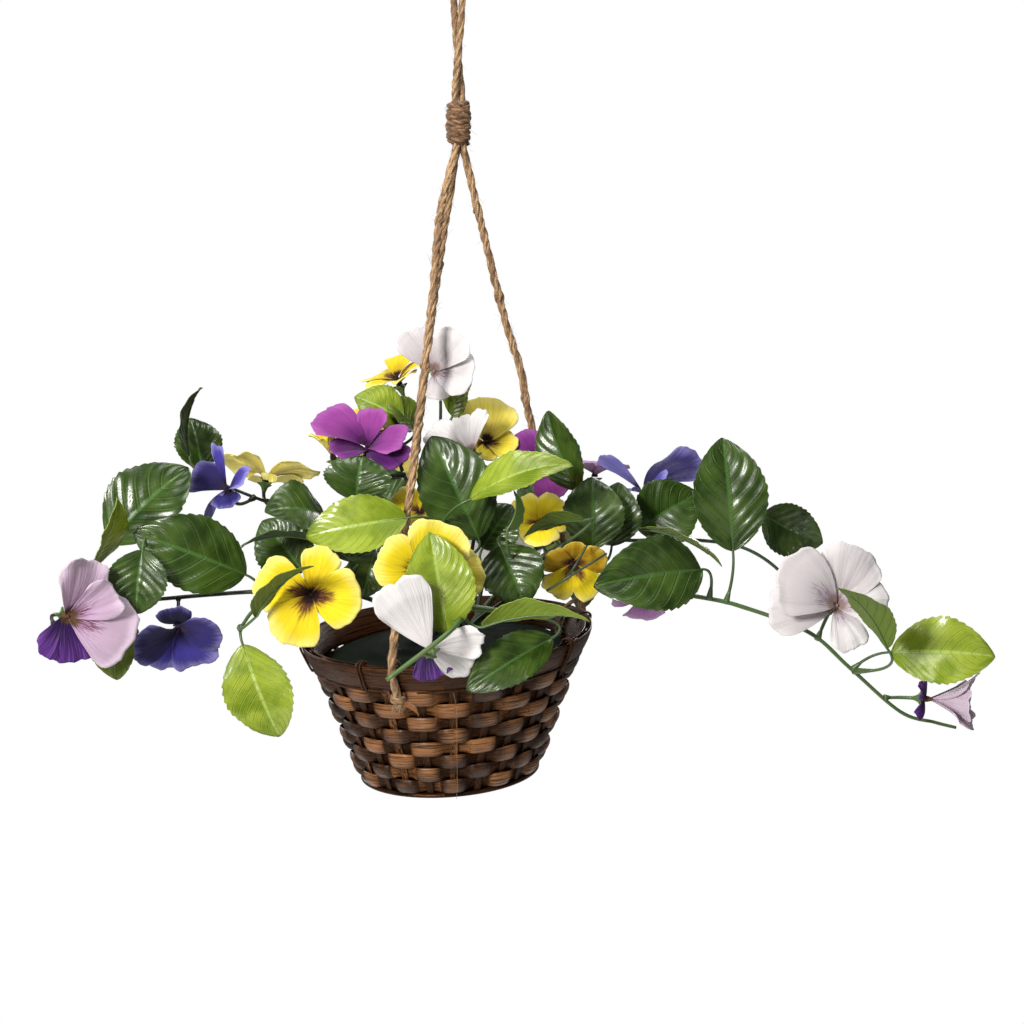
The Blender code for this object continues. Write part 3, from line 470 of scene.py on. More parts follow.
def spot(place):
    """Carry (across, up, depth) along the line of sight to its depth, from the rim's centre."""
    across, up, depth = np.array(place, float) * MM
    on_plane = np.array([across, up * math.sin(EYE_PITCH), up * math.cos(EYE_PITCH)])
    sight = on_plane - EYE
    return RIM_CENTRE + EYE + sight * ((depth - EYE[1]) / sight[1])


def lay_rope(piece, path, radius, pitch, chance, strands=3, spacing=1.8 * MM):
    """Laid rope: each strand follows a helix round the path, half the rope's radius from it. Its angle
    is the run over the pitch plus slow sines, so that the lay tightens and loosens, and its thickness
    is a sum of sines. A plain core, toned dark as painted shade, fills the hollow between the strands."""
    path = even_path(path, spacing)
    _, first, second = beside_path(path)
    run = np.arange(len(path)) * spacing
    loose = 0.9 * np.sin(run / 31e-3 + chance.uniform(0, 6)) + 0.4 * np.sin(run / 12e-3)
    piece.tube(path, radius * 0.8, tone=CORE_SHADE_TONE)
    for k in range(strands):
        a, b, c = (chance.uniform(0, 6) for _ in range(3))
        turn = math.tau * (run / pitch + k / strands) + loose + 0.35 * np.sin(run / 7e-3 + a)
        lump = 1 + 0.10 * np.sin(run / 9e-3 + a) + 0.07 * np.sin(run / 4.1e-3 + b)
        lump += 0.05 * np.sin(run / 1.7e-3 + c)
        line = path + swung(turn, first, second) * radius * 0.48
        tone = 0.5 + 0.3 * np.sin(run / 17e-3 + b) + 0.2 * np.sin(run / 5e-3 + c)
        piece.tube(line, radius * 0.54 * lump, tone=np.repeat(tone, 8))


def add_lump(piece, path, radius, at, chance):
    """A slub in the rope: loose bundles of fibre that swell along it at a share of its length."""
    path = even_path(path, 1.0 * MM)
    _, first, second = beside_path(path)
    middle = int(at * (len(path) - 1))
    for _ in range(5):
        half = chance.randrange(3, 8)
        span = np.arange(max(middle - half, 0), min(middle + half, len(path)))
        turn = chance.uniform(0, 6) + np.linspace(0, chance.uniform(0.4, 2.4), len(span))
        out = swung(turn, first[span], second[span])
        swell = np.sin(np.linspace(0.1, math.pi - 0.1, len(span)))
        line = path[span] + out * (radius * (0.62 + 0.25 * swell))[:, None]
        piece.tube(line, radius * (0.08 + 0.34 * swell), sides=7, tone=chance.uniform(0, 0.5))


def add_fuzz(piece, path, radius, count, chance):
    """Loose fibres: each leaves the rope's surface along it and outwards and curls over."""
    path = even_path(path, 1.0 * MM)
    tangent, first, second = beside_path(path)
    along = np.linspace(0, 1, 5)[:, None]
    for _ in range(count):
        i = chance.randrange(1, len(path) - 1)
        turn = chance.uniform(0, math.tau)
        out = first[i] * math.cos(turn) + second[i] * math.sin(turn)
        beside = np.cross(tangent[i], out)
        reach = chance.uniform(*FUZZ_LENGTH) * MM
        way = tangent[i] * chance.choice((-1, 1)) * chance.uniform(0.3, 1)
        way += out * FUZZ_LIFT * chance.random()
        curl = beside * chance.uniform(-0.6, 0.6) - out * chance.uniform(-0.3, 0.5)
        line = path[i] + out * radius * 0.92 + (way * along + curl * along ** 2) * reach
        piece.tube(line, np.linspace(0.09, 0.05, 5) * MM, sides=3, tone=chance.uniform(0.5, 1.0))


def leg_paths(name):
    """The standing rope from the binding to below the rim, and its tail round the hoops."""
    angle, bundle, via = LEGS[name]
    top = around(bundle, BUNDLE_RADIUS, WHIPPING[0] + 16.0 * MM)
    leave = around(bundle, BUNDLE_RADIUS, WHIPPING[0] - 2.0 * MM)
    standing = [top, leave] + [spot(place) for place in via]
    standing += [by_rim(angle, *place) for place in ROPE_END]
    tail = [by_rim(angle, *place) for place in ROPE_TAIL]
    return smooth_path(standing, 12), smooth_path(tail, 6)


def make_leg(name, jute, chance):
    """A rope with its tail, slubs and loose fibres, and the frayed knot below the hoops."""
    angle = LEGS[name][0]
    standing, tail = leg_paths(name)
    piece = Piece(name + "_laid")
    lay_rope(piece, standing, ROPE_RADIUS, ROPE_PITCH, chance)
    lay_rope(piece, tail, TAIL_RADIUS, TAIL_PITCH, chance)
    add_fuzz(piece, standing, ROPE_RADIUS, LEG_FIBRES, chance)
    for at in LEG_LUMPS[name]:
        add_lump(piece, standing, ROPE_RADIUS, at, chance)
    # The knot: turns of one strand round the standing rope, its end frayed
    turn = np.linspace(0, 2.4 * math.tau, 60)
    knot = around(angle, 104.6 * MM, -23.5 * MM)
    knot = knot + coil(turn, 4.2 * MM, 3.4 * MM, (2.6 - 0.42 * turn) * MM)
    lay_rope(piece, on_basket(knot), KNOT_RADIUS, KNOT_PITCH, chance, strands=2)
    for _ in range(FRAYED_FIBRES):
        root = around(angle + chance.uniform(-1.7, 1.7), 104.4 * MM, -26.0 * MM)
        swing = np.array([chance.uniform(-3.6, 3.6), chance.uniform(-2.4, 0.8), 0]) * MM
        drop = np.array([0, 0, -chance.uniform(3.0, 9.5)]) * MM
        t = np.linspace(0, 1, 6)[:, None]
        line = on_basket(root + drop * t + swing * t ** 1.5)
        piece.tube(line, np.linspace(0.5, 0.12, 6) * MM, sides=4, tone=chance.uniform(0.4, 1.0))
    if name == "rope_leg_front":
        fibre = smooth_path([by_rim(*place) for place in LOOSE_FIBRE], 12)
        piece.tube(fibre, LOOSE_FIBRE_RADIUS, sides=4, tone=1.0)
    piece.made([jute], "jute", [name])


def make_whipping(cord, chance):
    """Turns of thin cord wound round the ropes, with slanting turns crossing over them."""
    piece = Piece("rope_whipping_wound")
    bottom, top = WHIPPING
    low_end, high_end = np.array([0, 0, bottom]), np.array([0, 0, top])
    # A barrel of cord under the turns
    barrel = between(low_end, high_end, np.linspace(0.03, 0.97, len(BARREL_RADII)))
    piece.tube(barrel, BARREL_RADII, sides=20)
    for turns, radius, thick, low, high, begin in WHIPPING_TURNS:
        t = np.linspace(0, 1, int(26 * abs(turns)) + 8)
        turn = begin + turns * math.tau * t
        height = bottom + (top - bottom) * (low + (high - low) * t)
        reach = radius * MM * (1 - 0.12 * (2 * t - 1) ** 4)
        line = coil(turn, reach, reach, height)
        lay_rope(piece, line, thick * MM, WHIPPING_PITCH, chance, strands=2, spacing=1.2 * MM)
    middle_line = between(low_end, high_end, np.linspace(0, 1, 3))
    add_fuzz(piece, middle_line, WHIPPING_RADIUS, WHIPPING_FIBRES, chance)
    piece.made([cord], "jute", ["rope_whipping"])


def loop_path():
    """Up one side, half a turn round the other, round the top in an arc, and down again."""
    start = WHIPPING[0] + 17.0 * MM
    spread = LOOP_RADIUS + 0.25 * MM
    arc_radius = LOOP_OPENING / 2 + LOOP_RADIUS
    t = np.linspace(0, 1, 18)
    side = coil(math.pi * t, spread, spread, start + (LOOP_TWIST_END - start) * t)
    flare = np.array([(-spread - (arc_radius - spread) * s, 0.0, z * MM)
                      for s, z in ((0.12, -52), (0.45, -38), (0.82, -24))])
    turn = np.linspace(math.pi, 0, 12)
    arc = np.stack([arc_radius * np.cos(turn), 0 * turn,
                    arc_radius * np.sin(turn) - LOOP_OPENING / 2], axis=-1)
    half = np.vstack([side, flare])
    other = half[::-1] * np.array([-1, -1, 1])
    return smooth_path(np.vstack([half, arc, other]), 4)


def make_loop(jute, chance):
    """The doubled rope that the basket hangs by, its path as loop_path says."""
    piece = Piece("hanging_loop_laid")
    path = loop_path()
    lay_rope(piece, path, LOOP_RADIUS, LOOP_PITCH, chance)
    add_fuzz(piece, path, LOOP_RADIUS, LOOP_FIBRES, chance)
    piece.made([jute], "jute", ["hanging_loop"])


# Basket

STAKES = 24
STAKE_STEPS = 12
STAKE_ROWS = 26
STAKE_START = 4.2
# Half a stake's width at its foot and at its top
STAKE_HALF_WIDTH = (2.6 * MM, 3.8 * MM)
# The wall's heights and radii in millimetres
WALL = ((-109.3, 66.0), (-25.0, 96.0), (0.0, 107.0))
BASE_TOP = -107.5 * MM
BASE_BOTTOM = -110.5 * MM
BASE_RADIUS = 68.5 * MM
BASE_RINGS = 26
BASE_WEAVES = 6.5
WEAVERS = 8
WEAVER_TOP = -21.3 * MM
WEAVER_PITCH = 10.65 * MM
WEAVER_HEIGHT = 9.9 * MM
TOP_WEAVER_WIDER = 2.2 * MM
# How far a strip lies from the wall where it runs inside a stake and outside it
WEAVE_SWING = (-1.8 * MM, 3.1 * MM)
RIM_HEIGHT = 19.0 * MM
RIM_SLOPE = 0.44
RIM_STEPS = 192
# The faces of each hoop, from the wall
RIM_OUTER = (2.4 * MM, 4.0 * MM)
RIM_INNER = (-2.4 * MM, -1.0 * MM)
FOAM_ROWS = 64
FOAM_SIDES = 120
# The foam's outline: radius and height
FOAM = ((0.0, -3.0), (45.0, -7.0), (89.0, -15.0), (82.0, -44.0), (60.0, -107.2), (0.0, -107.2))
# A turn of cane over the hoops at a tie: angle in half degrees, radius and height
TIE = ((-1, 102.6, -20.2), (-0.6, 104.2, -19.0), (-0.2, 109.0, -9.0), (0, 112.0, -1.0),
       (0.1, 109.6, 2.0), (0.2, 104.6, 1.6), (0.4, 100.6, -9.0), (0.6, 96.2, -19.6))
CANE_RADIUS = 0.85 * MM
# The split end of the top strip: angle, radius and height of its middle, and half its width
SPLIT = ((-17, 104.5, -27, 1.6), (-13.5, 106.5, -28, 2.6), (-10.5, 108.0, -31, 2.2),
         (-9.5, 108.5, -35, 1.0))


def wall_radius(height):
    heights, radii = np.array(WALL).T * MM
    return np.interp(height, heights, radii)


def chip_profile(count=7):
    """A flat strip's closed outline: across it -1 to 1 on the outer side, crowned as 1 - x^2,
    and back on the inner side. Gives the places across, the outwards share, the crown, and the
    places on the UV map."""
    x = np.sin(np.linspace(-1, 1, count) * math.pi / 2)
    across = np.concatenate([x, x[::-1]])
    out = np.concatenate([np.ones(count), -np.ones(count)]) * (1 - 0.75 * across ** 8)
    return across, out, 1 - across ** 2, np.append((across + 1) / 2, 0)


def add_split(piece):
    """A broken end that curls off the wall: a sheet as wide as its half widths say."""
    angle, radius, height, half = np.array(SPLIT).T
    t = np.linspace(0, len(SPLIT) - 1, 16)
    angle, radius, height, half = (np.interp(t, range(len(SPLIT)), v)[:, None]
                                   for v in (angle, radius, height, half))
    across = np.linspace(-1, 1, 5)
    jagged = across * half + 0.5 * np.sin(t * 9)[:, None] * across ** 2
    points = around(angle, radius * MM, (height + jagged) * MM)
    piece.sheet(on_basket(points), 0.4 * MM, under=0.0, tone=1.0, crown=1.0)


def make_weavers(chip, chance):
    """Each strip's radius is the wall's plus a swing that flattens where it lies over a stake, the
    tanh of a cosine whose wave spans two stakes. Where it bows out it also stands taller."""
    across, out, crown, side = chip_profile()
    steps = STAKES * STAKE_STEPS
    stake = np.arange(steps) / STAKE_STEPS
    middle = sum(WEAVE_SWING) / 2
    half_swing = (WEAVE_SWING[1] - WEAVE_SWING[0]) / 2
    for row in range(WEAVERS):
        piece = Piece("weaver_%d_chip" % (row + 1))
        # The top strip is wider and meets the hoops
        wider = TOP_WEAVER_WIDER if row == 0 else 0.0
        top = WEAVER_TOP - row * WEAVER_PITCH
        centre = top - WEAVER_HEIGHT / 2 + wider / 2
        wave = -np.cos(math.pi * (stake + row))
        bow = np.tanh(1.7 * wave) / math.tanh(1.7)
        uneven = np.array([chance.uniform(-1, 1) for _ in range(STAKES)])
        uneven = np.interp(stake, np.arange(STAKES + 1), np.append(uneven, uneven[0]))
        height = WEAVER_HEIGHT + wider + 0.5 * MM + (1.5 + 0.5 * uneven) * MM * bow
        z = centre + (0.4 * MM * uneven)[:, None] + across * height[:, None] / 2
        radius = wall_radius(centre) + (z - centre) * 0.33 + middle + (half_swing * bow)[:, None]
        radius = radius + out * 0.5 * MM + (crown * 1.9 - 0.6) * (0.5 + 0.5 * bow[:, None]) * MM
        angle = STAKE_START + stake * 360 / STAKES
        tones = np.array([chance.random() for _ in range(STAKES)])
        tone = tones[np.round(stake).astype(int) % STAKES]
        points = on_basket(around(angle[:, None], radius, z))
        if row == 0:
            add_split(piece)
        # How proud of the wall each place stands, highest in the middle of an outer bow; the finish
        # paints copper highlight there, and less where the strip dives under
        proud = (0.5 + 0.5 * wave) ** 1.5
        piece.grid(points, along=np.linspace(0, 0.62, steps + 1), across=side, wrap=(True, True),
                   tone=np.repeat(tone, len(across)), crown=np.repeat(proud, len(across)))
        piece.made([chip], "chip", ["weaver_%d" % (row + 1)])


def make_frame(chip, chance):
    """Stakes as crowned strips that follow the wall, and the base as a disc whose lower side rises
    and falls by a cosine round it times a cosine outwards."""
    piece = Piece("basket_frame_chip")
    across, out, crown, _ = chip_profile()
    t = np.linspace(0, 1, STAKE_ROWS)
    z = (BASE_BOTTOM + 1.2 * MM) * (1 - t) - 1.0 * MM * t
    half = np.interp(t, (0, 1), STAKE_HALF_WIDTH)
    for k in range(STAKES):
        angle = STAKE_START + k * 360 / STAKES
        middle = around(angle, wall_radius(z), z)
        side = around(angle + 90, 1.0, 0.0)
        outward = around(angle, 1.0, 0.0)
        points = middle[:, None] + (across * half[:, None])[..., None] * side
        points = points + ((out * 0.55 + crown * 0.3) * MM)[:, None] * outward
        piece.grid(on_basket(points), caps=True, tone=chance.random())
    rings = np.linspace(0.03, 1, BASE_RINGS)
    rings = np.concatenate([rings, rings[::-1]])
    angle = np.arange(STAKES * 8) * 360 / (STAKES * 8)
    weave = np.cos(np.radians(angle) * STAKES / 2) * np.cos(rings[:, None] * BASE_WEAVES * math.pi)
    lower = np.repeat([1.0, 0.0], BASE_RINGS)[:, None]
    height = BASE_BOTTOM * lower + BASE_TOP * (1 - lower) + (0.9 * MM * lower) * (weave + 1) * 0.5
    radius = BASE_RADIUS * rings[:, None]
    disc = around(angle[None, ::-1], radius, height)
    piece.grid(on_basket(disc), caps=True, tone=0.4)
    piece.made([chip], "chip", ["basket_frame"])


def make_rims(hoop):
    """Hoops turned from a flat outline with a crowned outer side."""
    across, out, crown, side = chip_profile(9)
    angle = (np.arange(RIM_STEPS) * 360 / RIM_STEPS)[:, None]
    turn = np.radians(angle)
    drift = 0.25 * MM * np.sin(3 * turn + 1) + 0.15 * MM * np.sin(7 * turn)
    z = -RIM_HEIGHT / 2 + across * RIM_HEIGHT / 2
    for name, (inner, outer), sign in (("rim_outer", RIM_OUTER, 1.0), ("rim_inner", RIM_INNER, -1.0)):
        piece = Piece(name + "_chip")
        radius = wall_radius(0) + z * RIM_SLOPE + (inner + outer) / 2 + out * (outer - inner) / 2
        bulge = crown * np.maximum(out * sign, 0) * 1.1 * MM * sign
        points = on_basket(around(angle, radius + bulge + drift, z + drift))
        piece.grid(points, along=np.linspace(0, 0.68, RIM_STEPS + 1), across=side,
                   wrap=(True, True), tone=0.25)
        piece.made([hoop], "chip", [name])


def make_lashings(cane, chance):
    """Thin cane: a run under the outer hoop that sways as a sine, and two turns over both hoops at
    each tie."""
    ropes = sorted(leg[0] for leg in LEGS.values())
    names = ("lashing_right", "lashing_back", "lashing_left")
    step = 360 / STAKES
    outer = wall_radius(-RIM_HEIGHT) + RIM_OUTER[1] - 0.75 * MM
    for name, start, end in zip(names, ropes, ropes[1:] + [ropes[0] + 360]):
        piece = Piece(name + "_cane")
        count = round((end - start) / step)
        angle = np.linspace(start + 0.5 * step, start + (count - 0.5) * step, count * 8)
        sway = 0.35 * MM * np.sin(np.radians(angle) * 9)
        run = on_basket(around(angle, outer + sway, -RIM_HEIGHT - 1.05 * MM + sway))
        piece.tube(run, CANE_RADIUS, tone=chance.random())
        for tie in sorted({start + 5 * step, end - step}):
            for side in (-0.75, 0.75):
                places = [by_rim(tie + side + 0.5 * slant, radius, z) for slant, radius, z in TIE]
                piece.tube(smooth_path(places, 6), CANE_RADIUS, tone=chance.random())
        piece.made([cane], "cane", [name])


def make_foam(foam):
    """The outline turned round, its surface lifted by up to a millimetre in crossing waves."""
    r, z = np.array(FOAM).T * MM
    run = run_of(np.stack([r, z], axis=1))
    at = np.linspace(0.004, run[-1] - 0.004, FOAM_ROWS)
    radius, height = np.interp(at, run, r), np.interp(at, run, z)
    angle = (np.arange(FOAM_SIDES) * 360 / FOAM_SIDES)[None, ::-1]
    turn = np.radians(angle)
    lift = 0.5 * MM * (np.sin(radius[:, None] * 210 + 3 * turn) * np.sin(5 * turn + 1)
                       + np.sin(radius[:, None] * 390 + 2 * turn))
    points = around(angle, radius[:, None] - np.abs(lift) * 0.4, height[:, None] + lift)
    piece = Piece("foam_block")
    piece.grid(on_basket(points)[:, ::-1], caps=True)
    piece.made([foam], "foam", ["foam"])


# Plant

SHAPE_SEED = 5
WAVE_SEED = 11
# Each stem: where it stands in the foam (x, y), its radius, how green it is, from near black at 0,
# and the places that it passes
STEMS = {
    "stem_right_long": ((22, -8), 2.0, 0.75, ((55, 38, -20), (116, 36, -30), (192, 25, -34),
        (226, 17, -36), (275, -2, -36), (306, -29, -34), (344, -62, -28),
        (370, -70, -24), (386, -74, -20))),
    "stem_right_back": ((20, 10), 1.8, 0.3, ((86, 64, 30), (146, 68, 45), (192, 68, 52),
        (226, 62, 52), (253, 44, 46), (268, 19, 36), (279, 8, 26))),
    "stem_left_low": ((-24, -8), 2.0, 0.1, ((-60, 24, -28), (-100, 29, -36), (-147, 29, -36),
        (-212, 24, -42), (-248, 20, -50), (-286, 9, -62), (-298, 4, -70))),
    "stem_left_upper": ((-22, 10), 1.8, 0.05, ((-58, 76, 15), (-112, 91, 28), (-133, 96, 30),
        (-162, 107, 30), (-183, 117, 36))),
    "stem_left_front": ((-14, -24), 2.0, 0.7, ((-43, 30, -60), (-89, 23, -78), (-140, 18, -84),
        (-157, 2, -94))),
    "stem_left_middle": ((-4, -12), 1.8, 0.3, ((-32, 49, -45), (-57, 70, -52), (-77, 83, -46),
        (-86, 96, -36))),
    "stem_top_left": ((-8, 8), 1.8, 0.2, ((-17, 83, 0), (-34, 121, 6), (-39, 144, 10),
        (-32, 167, 10))),
    "stem_top": ((4, 6), 1.8, 0.2, ((-4, 83, 14), (-7, 129, 14), (-5, 159, 12), (-5, 181, 4))),
    "stem_centre_back": ((10, 20), 1.8, 0.2, ((23, 83, 19), (28, 111, 24))),
    "stem_front_centre": ((8, -12), 1.8, 0.5, ((0, 49, -62), (-5, 78, -66))),
    "stem_front_hang": ((2, -26), 2.6, 1.0, ((17, 30, -72), (13, 14, -118), (1, -2, -163),
        (-46, -38, -181))),
    "stem_front_right": ((18, -24), 1.8, 0.4, ((44, 23, -40), (57, 42, -50), (71, 53, -52))),
    "stem_back_left": ((-12, 24), 1.8, 0.3, ((-26, 70, 90), (-44, 72, 140), (-58, 50, 190))),
    "stem_back_right": ((22, 26), 1.8, 0.3, ((40, 72, 90), (70, 78, 140), (92, 56, 190))),
}

# The leaves of each stem: colour, base, tip, the way the upper side faces, width, arch; a lime leaf
# that lies in shade has its own colour name and is painted darker as painted shade
LEAVES = {
    "stem_right_long": (
        ("dark", (217, 60, -36), (209, 146, -14), (0.1, -1, 0.15), 57, 5),
        ("dark", (193, 46, -46), (112, 34, -84), (0, -0.95, 0.35), 56, 8),
        ("shaded_lime", (334, -14, -82), (297, 32, -102), (0.6, 0.5, 0.6), 38, 6),
        ("lime", (337, -17, -40), (416, -20, -52), (0, -0.85, 0.5), 52, 6),
    ),
    "stem_right_back": (
        ("dark", (240, 88, 46), (285, 66, 32), (0.2, -1, -0.2), 42, 6),
        ("dark", (144, 77, 8), (190, 104, 12), (0.2, -0.9, 0.3), 52, 6),
        ("shaded_lime", (146, 77, -6), (209, 49, -22), (0.2, 0.2, 1), 34, 6),
        ("dark", (125, 64, -14), (130, 112, -8), (0, -0.9, 0.3), 40, 6),
        ("dark", (100, 106, -12), (76, 166, 0), (-0.5, -0.85, 0), 38, 5),
    ),
    "stem_left_low": (
        ("dark", (-153, 42, -44), (-238, 74, -66), (0.1, -1, 0.4), 57, 6),
        ("dark", (-256, 66, -42), (-196, 123, -14), (-0.2, -1, 0.4), 58, 8),
        ("dark", (-231, 61, -80), (-236, 12, -86), (0, -0.9, 0.4), 44, 4),
        ("lime", (-270, 49, -84), (-250, 100, -84), (0.95, -0.25, 0), 40, 4),
        ("shaded_lime", (-252, 27, -56), (-251, -38, -60), (-0.3, -1, 0), 46, 4),
    ),
    "stem_left_upper": (
        ("dark", (-195, 132, 34), (-187, 184, 40), (-0.98, -0.04, 0.1), 42, 6),
        ("dark", (-186, 121, 58), (-195, 161, 74), (0.4, -0.9, 0), 38, 4),
    ),
    "stem_left_front": (
        ("lime", (-155, -11, -100), (-127, -81, -96), (-0.1, -1, 0.1), 50, 6),
        ("shaded_lime", (-145, 10, -138), (-102, 49, -160), (-0.5, 0.3, 0.8), 34, 5),
    ),
    "stem_left_middle": (
        ("dark", (-93, 86, -44), (-138, 90, -70), (0, -0.7, 0.75), 46, 6),
        ("dark", (-94, 66, -76), (-156, 64, -88), (0, 0.25, 1), 34, 6),
        ("dark", (-109, 44, -52), (-140, 83, -44), (0, -0.9, 0.4), 46, 4),
        ("dark", (-69, 98, -62), (-64, 132, -52), (0, -0.9, 0.4), 50, 6),
        ("dark", (-74, 52, -90), (-72, 90, -84), (0, -0.9, 0.3), 43, 4),
        ("dark", (-55, 60, -70), (-64, 25, -76), (0, -1, 0), 32, 4),
    ),
    "stem_top_left": (
        ("lime", (-34, 158, 2), (-70, 177, 0), (-0.2, -0.7, 0.7), 36, 4),
        ("shaded_lime", (-26, 152, 12), (-46, 174, 2), (0.6, -0.5, 0.4), 30, 4),
    ),
    "stem_top": (
        ("shaded_lime", (4, 162, 18), (18, 193, 12), (-0.8, -0.6, 0), 32, 4),
    ),
    "stem_front_centre": (
        ("lime", (-30, 85, -92), (-107, 71, -96), (0.1, -0.9, 0.4), 42, 6),
        ("dark", (24, 69, -62), (-12, 147, -46), (0.1, -1, 0.2), 56, 6),
        ("lime", (18, 99, -84), (95, 126, -74), (-0.1, -0.5, 0.9), 40, 8),
    ),
    "stem_front_hang": (
        ("lime", (0, -2, -136), (-13, 74, -132), (0.1, -1, 0.1), 50, 6),
        ("lime", (26, 2, -128), (108, 8, -150), (0, 0.5, 0.85), 44, 6),
        ("dark", (80, -6, -116), (15, -46, -138), (-0.3, -0.9, 0.3), 36, 5),
    ),
    "stem_front_right": (
        ("dark", (40, 64, -78), (59, 18, -98), (0.1, -0.95, 0.3), 48, 4),
        ("dark", (46, 76, -100), (51, 106, -100), (1, 0.25, 0), 26, 4),
        ("shaded_lime", (104, 83, -66), (58, 71, -76), (0, 0.6, 0.8), 26, 4),
        ("dark", (110, 61, -34), (110, 116, -18), (0.1, -0.95, 0.3), 47, 5),
        ("dark", (27, 62, -40), (49, 95, -34), (0, -0.9, 0.4), 38, 4),
    ),
    "stem_back_left": (
        ("dark", (-40, 90, 110), (-70, 120, 150), (-0.4, 0.4, 0.8), 52, 6),
        ("dark", (-50, 60, 120), (-72, 20, 165), (-0.6, 0.6, 0.4), 52, 6),
        ("dark", (-8, 80, 110), (8, 110, 160), (0.1, 0.5, 0.8), 52, 6),
    ),
    "stem_back_right": (
        ("dark", (60, 92, 110), (96, 112, 150), (0.4, 0.4, 0.8), 52, 6),
        ("lime", (92, 84, 150), (84, 44, 205), (0.2, 0.7, 0.6), 50, 6),
        ("dark", (78, 56, 120), (100, 16, 165), (0.6, 0.6, 0.4), 52, 6),
    ),
}
# Bare stalks that cross in front of the blooms: the places that each runs through
BARE_STALKS = {
    "stem_front_right": (((76, 30, -84), (92, 40, -88), (108, 50, -84), (121, 58, -74)),
                         ((90, 38, -86), (98, 50, -88), (106, 64, -78))),
}
# Each bloom: stem, colour, place, the way it faces, petal length, and flare in degrees
BLOOMS = {
    "bloom_far_left": ("stem_left_low", "lilac", (-291, 11, -104), (0.65, -0.75, 0.1), 41, 18),
    "bloom_left_blue": ("stem_left_low", "blue", (-204, 6, -60), (0.1, -0.85, -0.5), 34, 20),
    "bloom_upper_blue": ("stem_left_upper", "blue", (-165, 104, 8), (-0.25, -0.55, 0.8), 33, 12),
    "bloom_upper_yellow": ("stem_left_upper", "yellow", (-138, 112, 46), (0.1, 0.45, 0.85), 38, 15),
    "bloom_left_yellow": ("stem_left_front", "yellow", (-103, 26, -112), (0.05, -0.95, 0.25), 37, 8),
    "bloom_magenta": ("stem_top_left", "magenta", (-60, 135, -27), (-0.1, -0.5, 0.85), 38, 14),
    "bloom_top_yellow": ("stem_top_left", "yellow", (-36, 186, 39), (-0.3, -0.1, 0.9), 31, 8),
    "bloom_top_white": ("stem_top", "white", (-9, 195, -8), (-0.1, -0.9, 0.4), 33, 14),
    "bloom_middle_white": ("stem_centre_back", "white", (20, 133, -10), (-0.2, -0.8, 0.55), 30, 8),
    "bloom_middle_yellow": ("stem_centre_back", "yellow", (29, 141, 22), (0.2, -0.8, 0.5), 33, 10),
    "bloom_middle_purple": ("stem_centre_back", "magenta", (68, 126, 22), (0.2, -0.95, 0.2), 28, 10),
    "bloom_centre_yellow": ("stem_front_centre", "yellow", (-16, 44, -106), (0, -0.98, 0.15), 40, 8),
    "bloom_behind_yellow": ("stem_front_centre", "yellow", (-20, 86, -34), (0, -0.6, 0.8), 26, 25),
    "bloom_front_white": ("stem_front_hang", "white", (-12, -16, -155), (-0.25, 0.95, 0.2), 42, 8),
    "bloom_right_pale": ("stem_front_right", "yellow", (70, 78, -12), (0, -0.7, 0.7), 27, 15),
    "bloom_right_brown": ("stem_front_right", "yellow", (95, 53, -58), (0.1, -0.85, -0.3), 28, 12),
    "bloom_back_mauve": ("stem_back_right", "mauve", (112, 116, 86), (0, 0.2, 0.95), 29, 15),
    "bloom_right_blue": ("stem_right_back", "blue", (150, 101, 36), (-0.35, -0.2, 0.85), 42, 20),
    "bloom_under_mauve": ("stem_right_long", "mauve", (150, 30, 0), (0, -0.5, -0.8), 28, 20),
    "bud_yellow": ("stem_top_left", "yellow", (-86, 130, 18), (-0.3, -0.2, 0.95), 24, 60),
    "bloom_right_white": ("stem_right_long", "white", (294, 17, -38), (0.15, -0.85, 0.45), 44, 8),
    "bloom_far_right": ("stem_right_long", "lilac", (361, -52, -34), (0.9, -0.42, 0.05), 35, 54),
    "bloom_behind_magenta": ("stem_top_left", "yellow", (-54, 152, 42), (0, -0.3, 0.9), 26, 20),
    "bloom_back_yellow": ("stem_back_left", "yellow", (-50, 110, 180), (-0.2, 0.8, 0.6), 37, 12),
    "bloom_back_white": ("stem_back_right", "white", (40, 60, 200), (0.1, 0.9, 0.3), 37, 12),
}

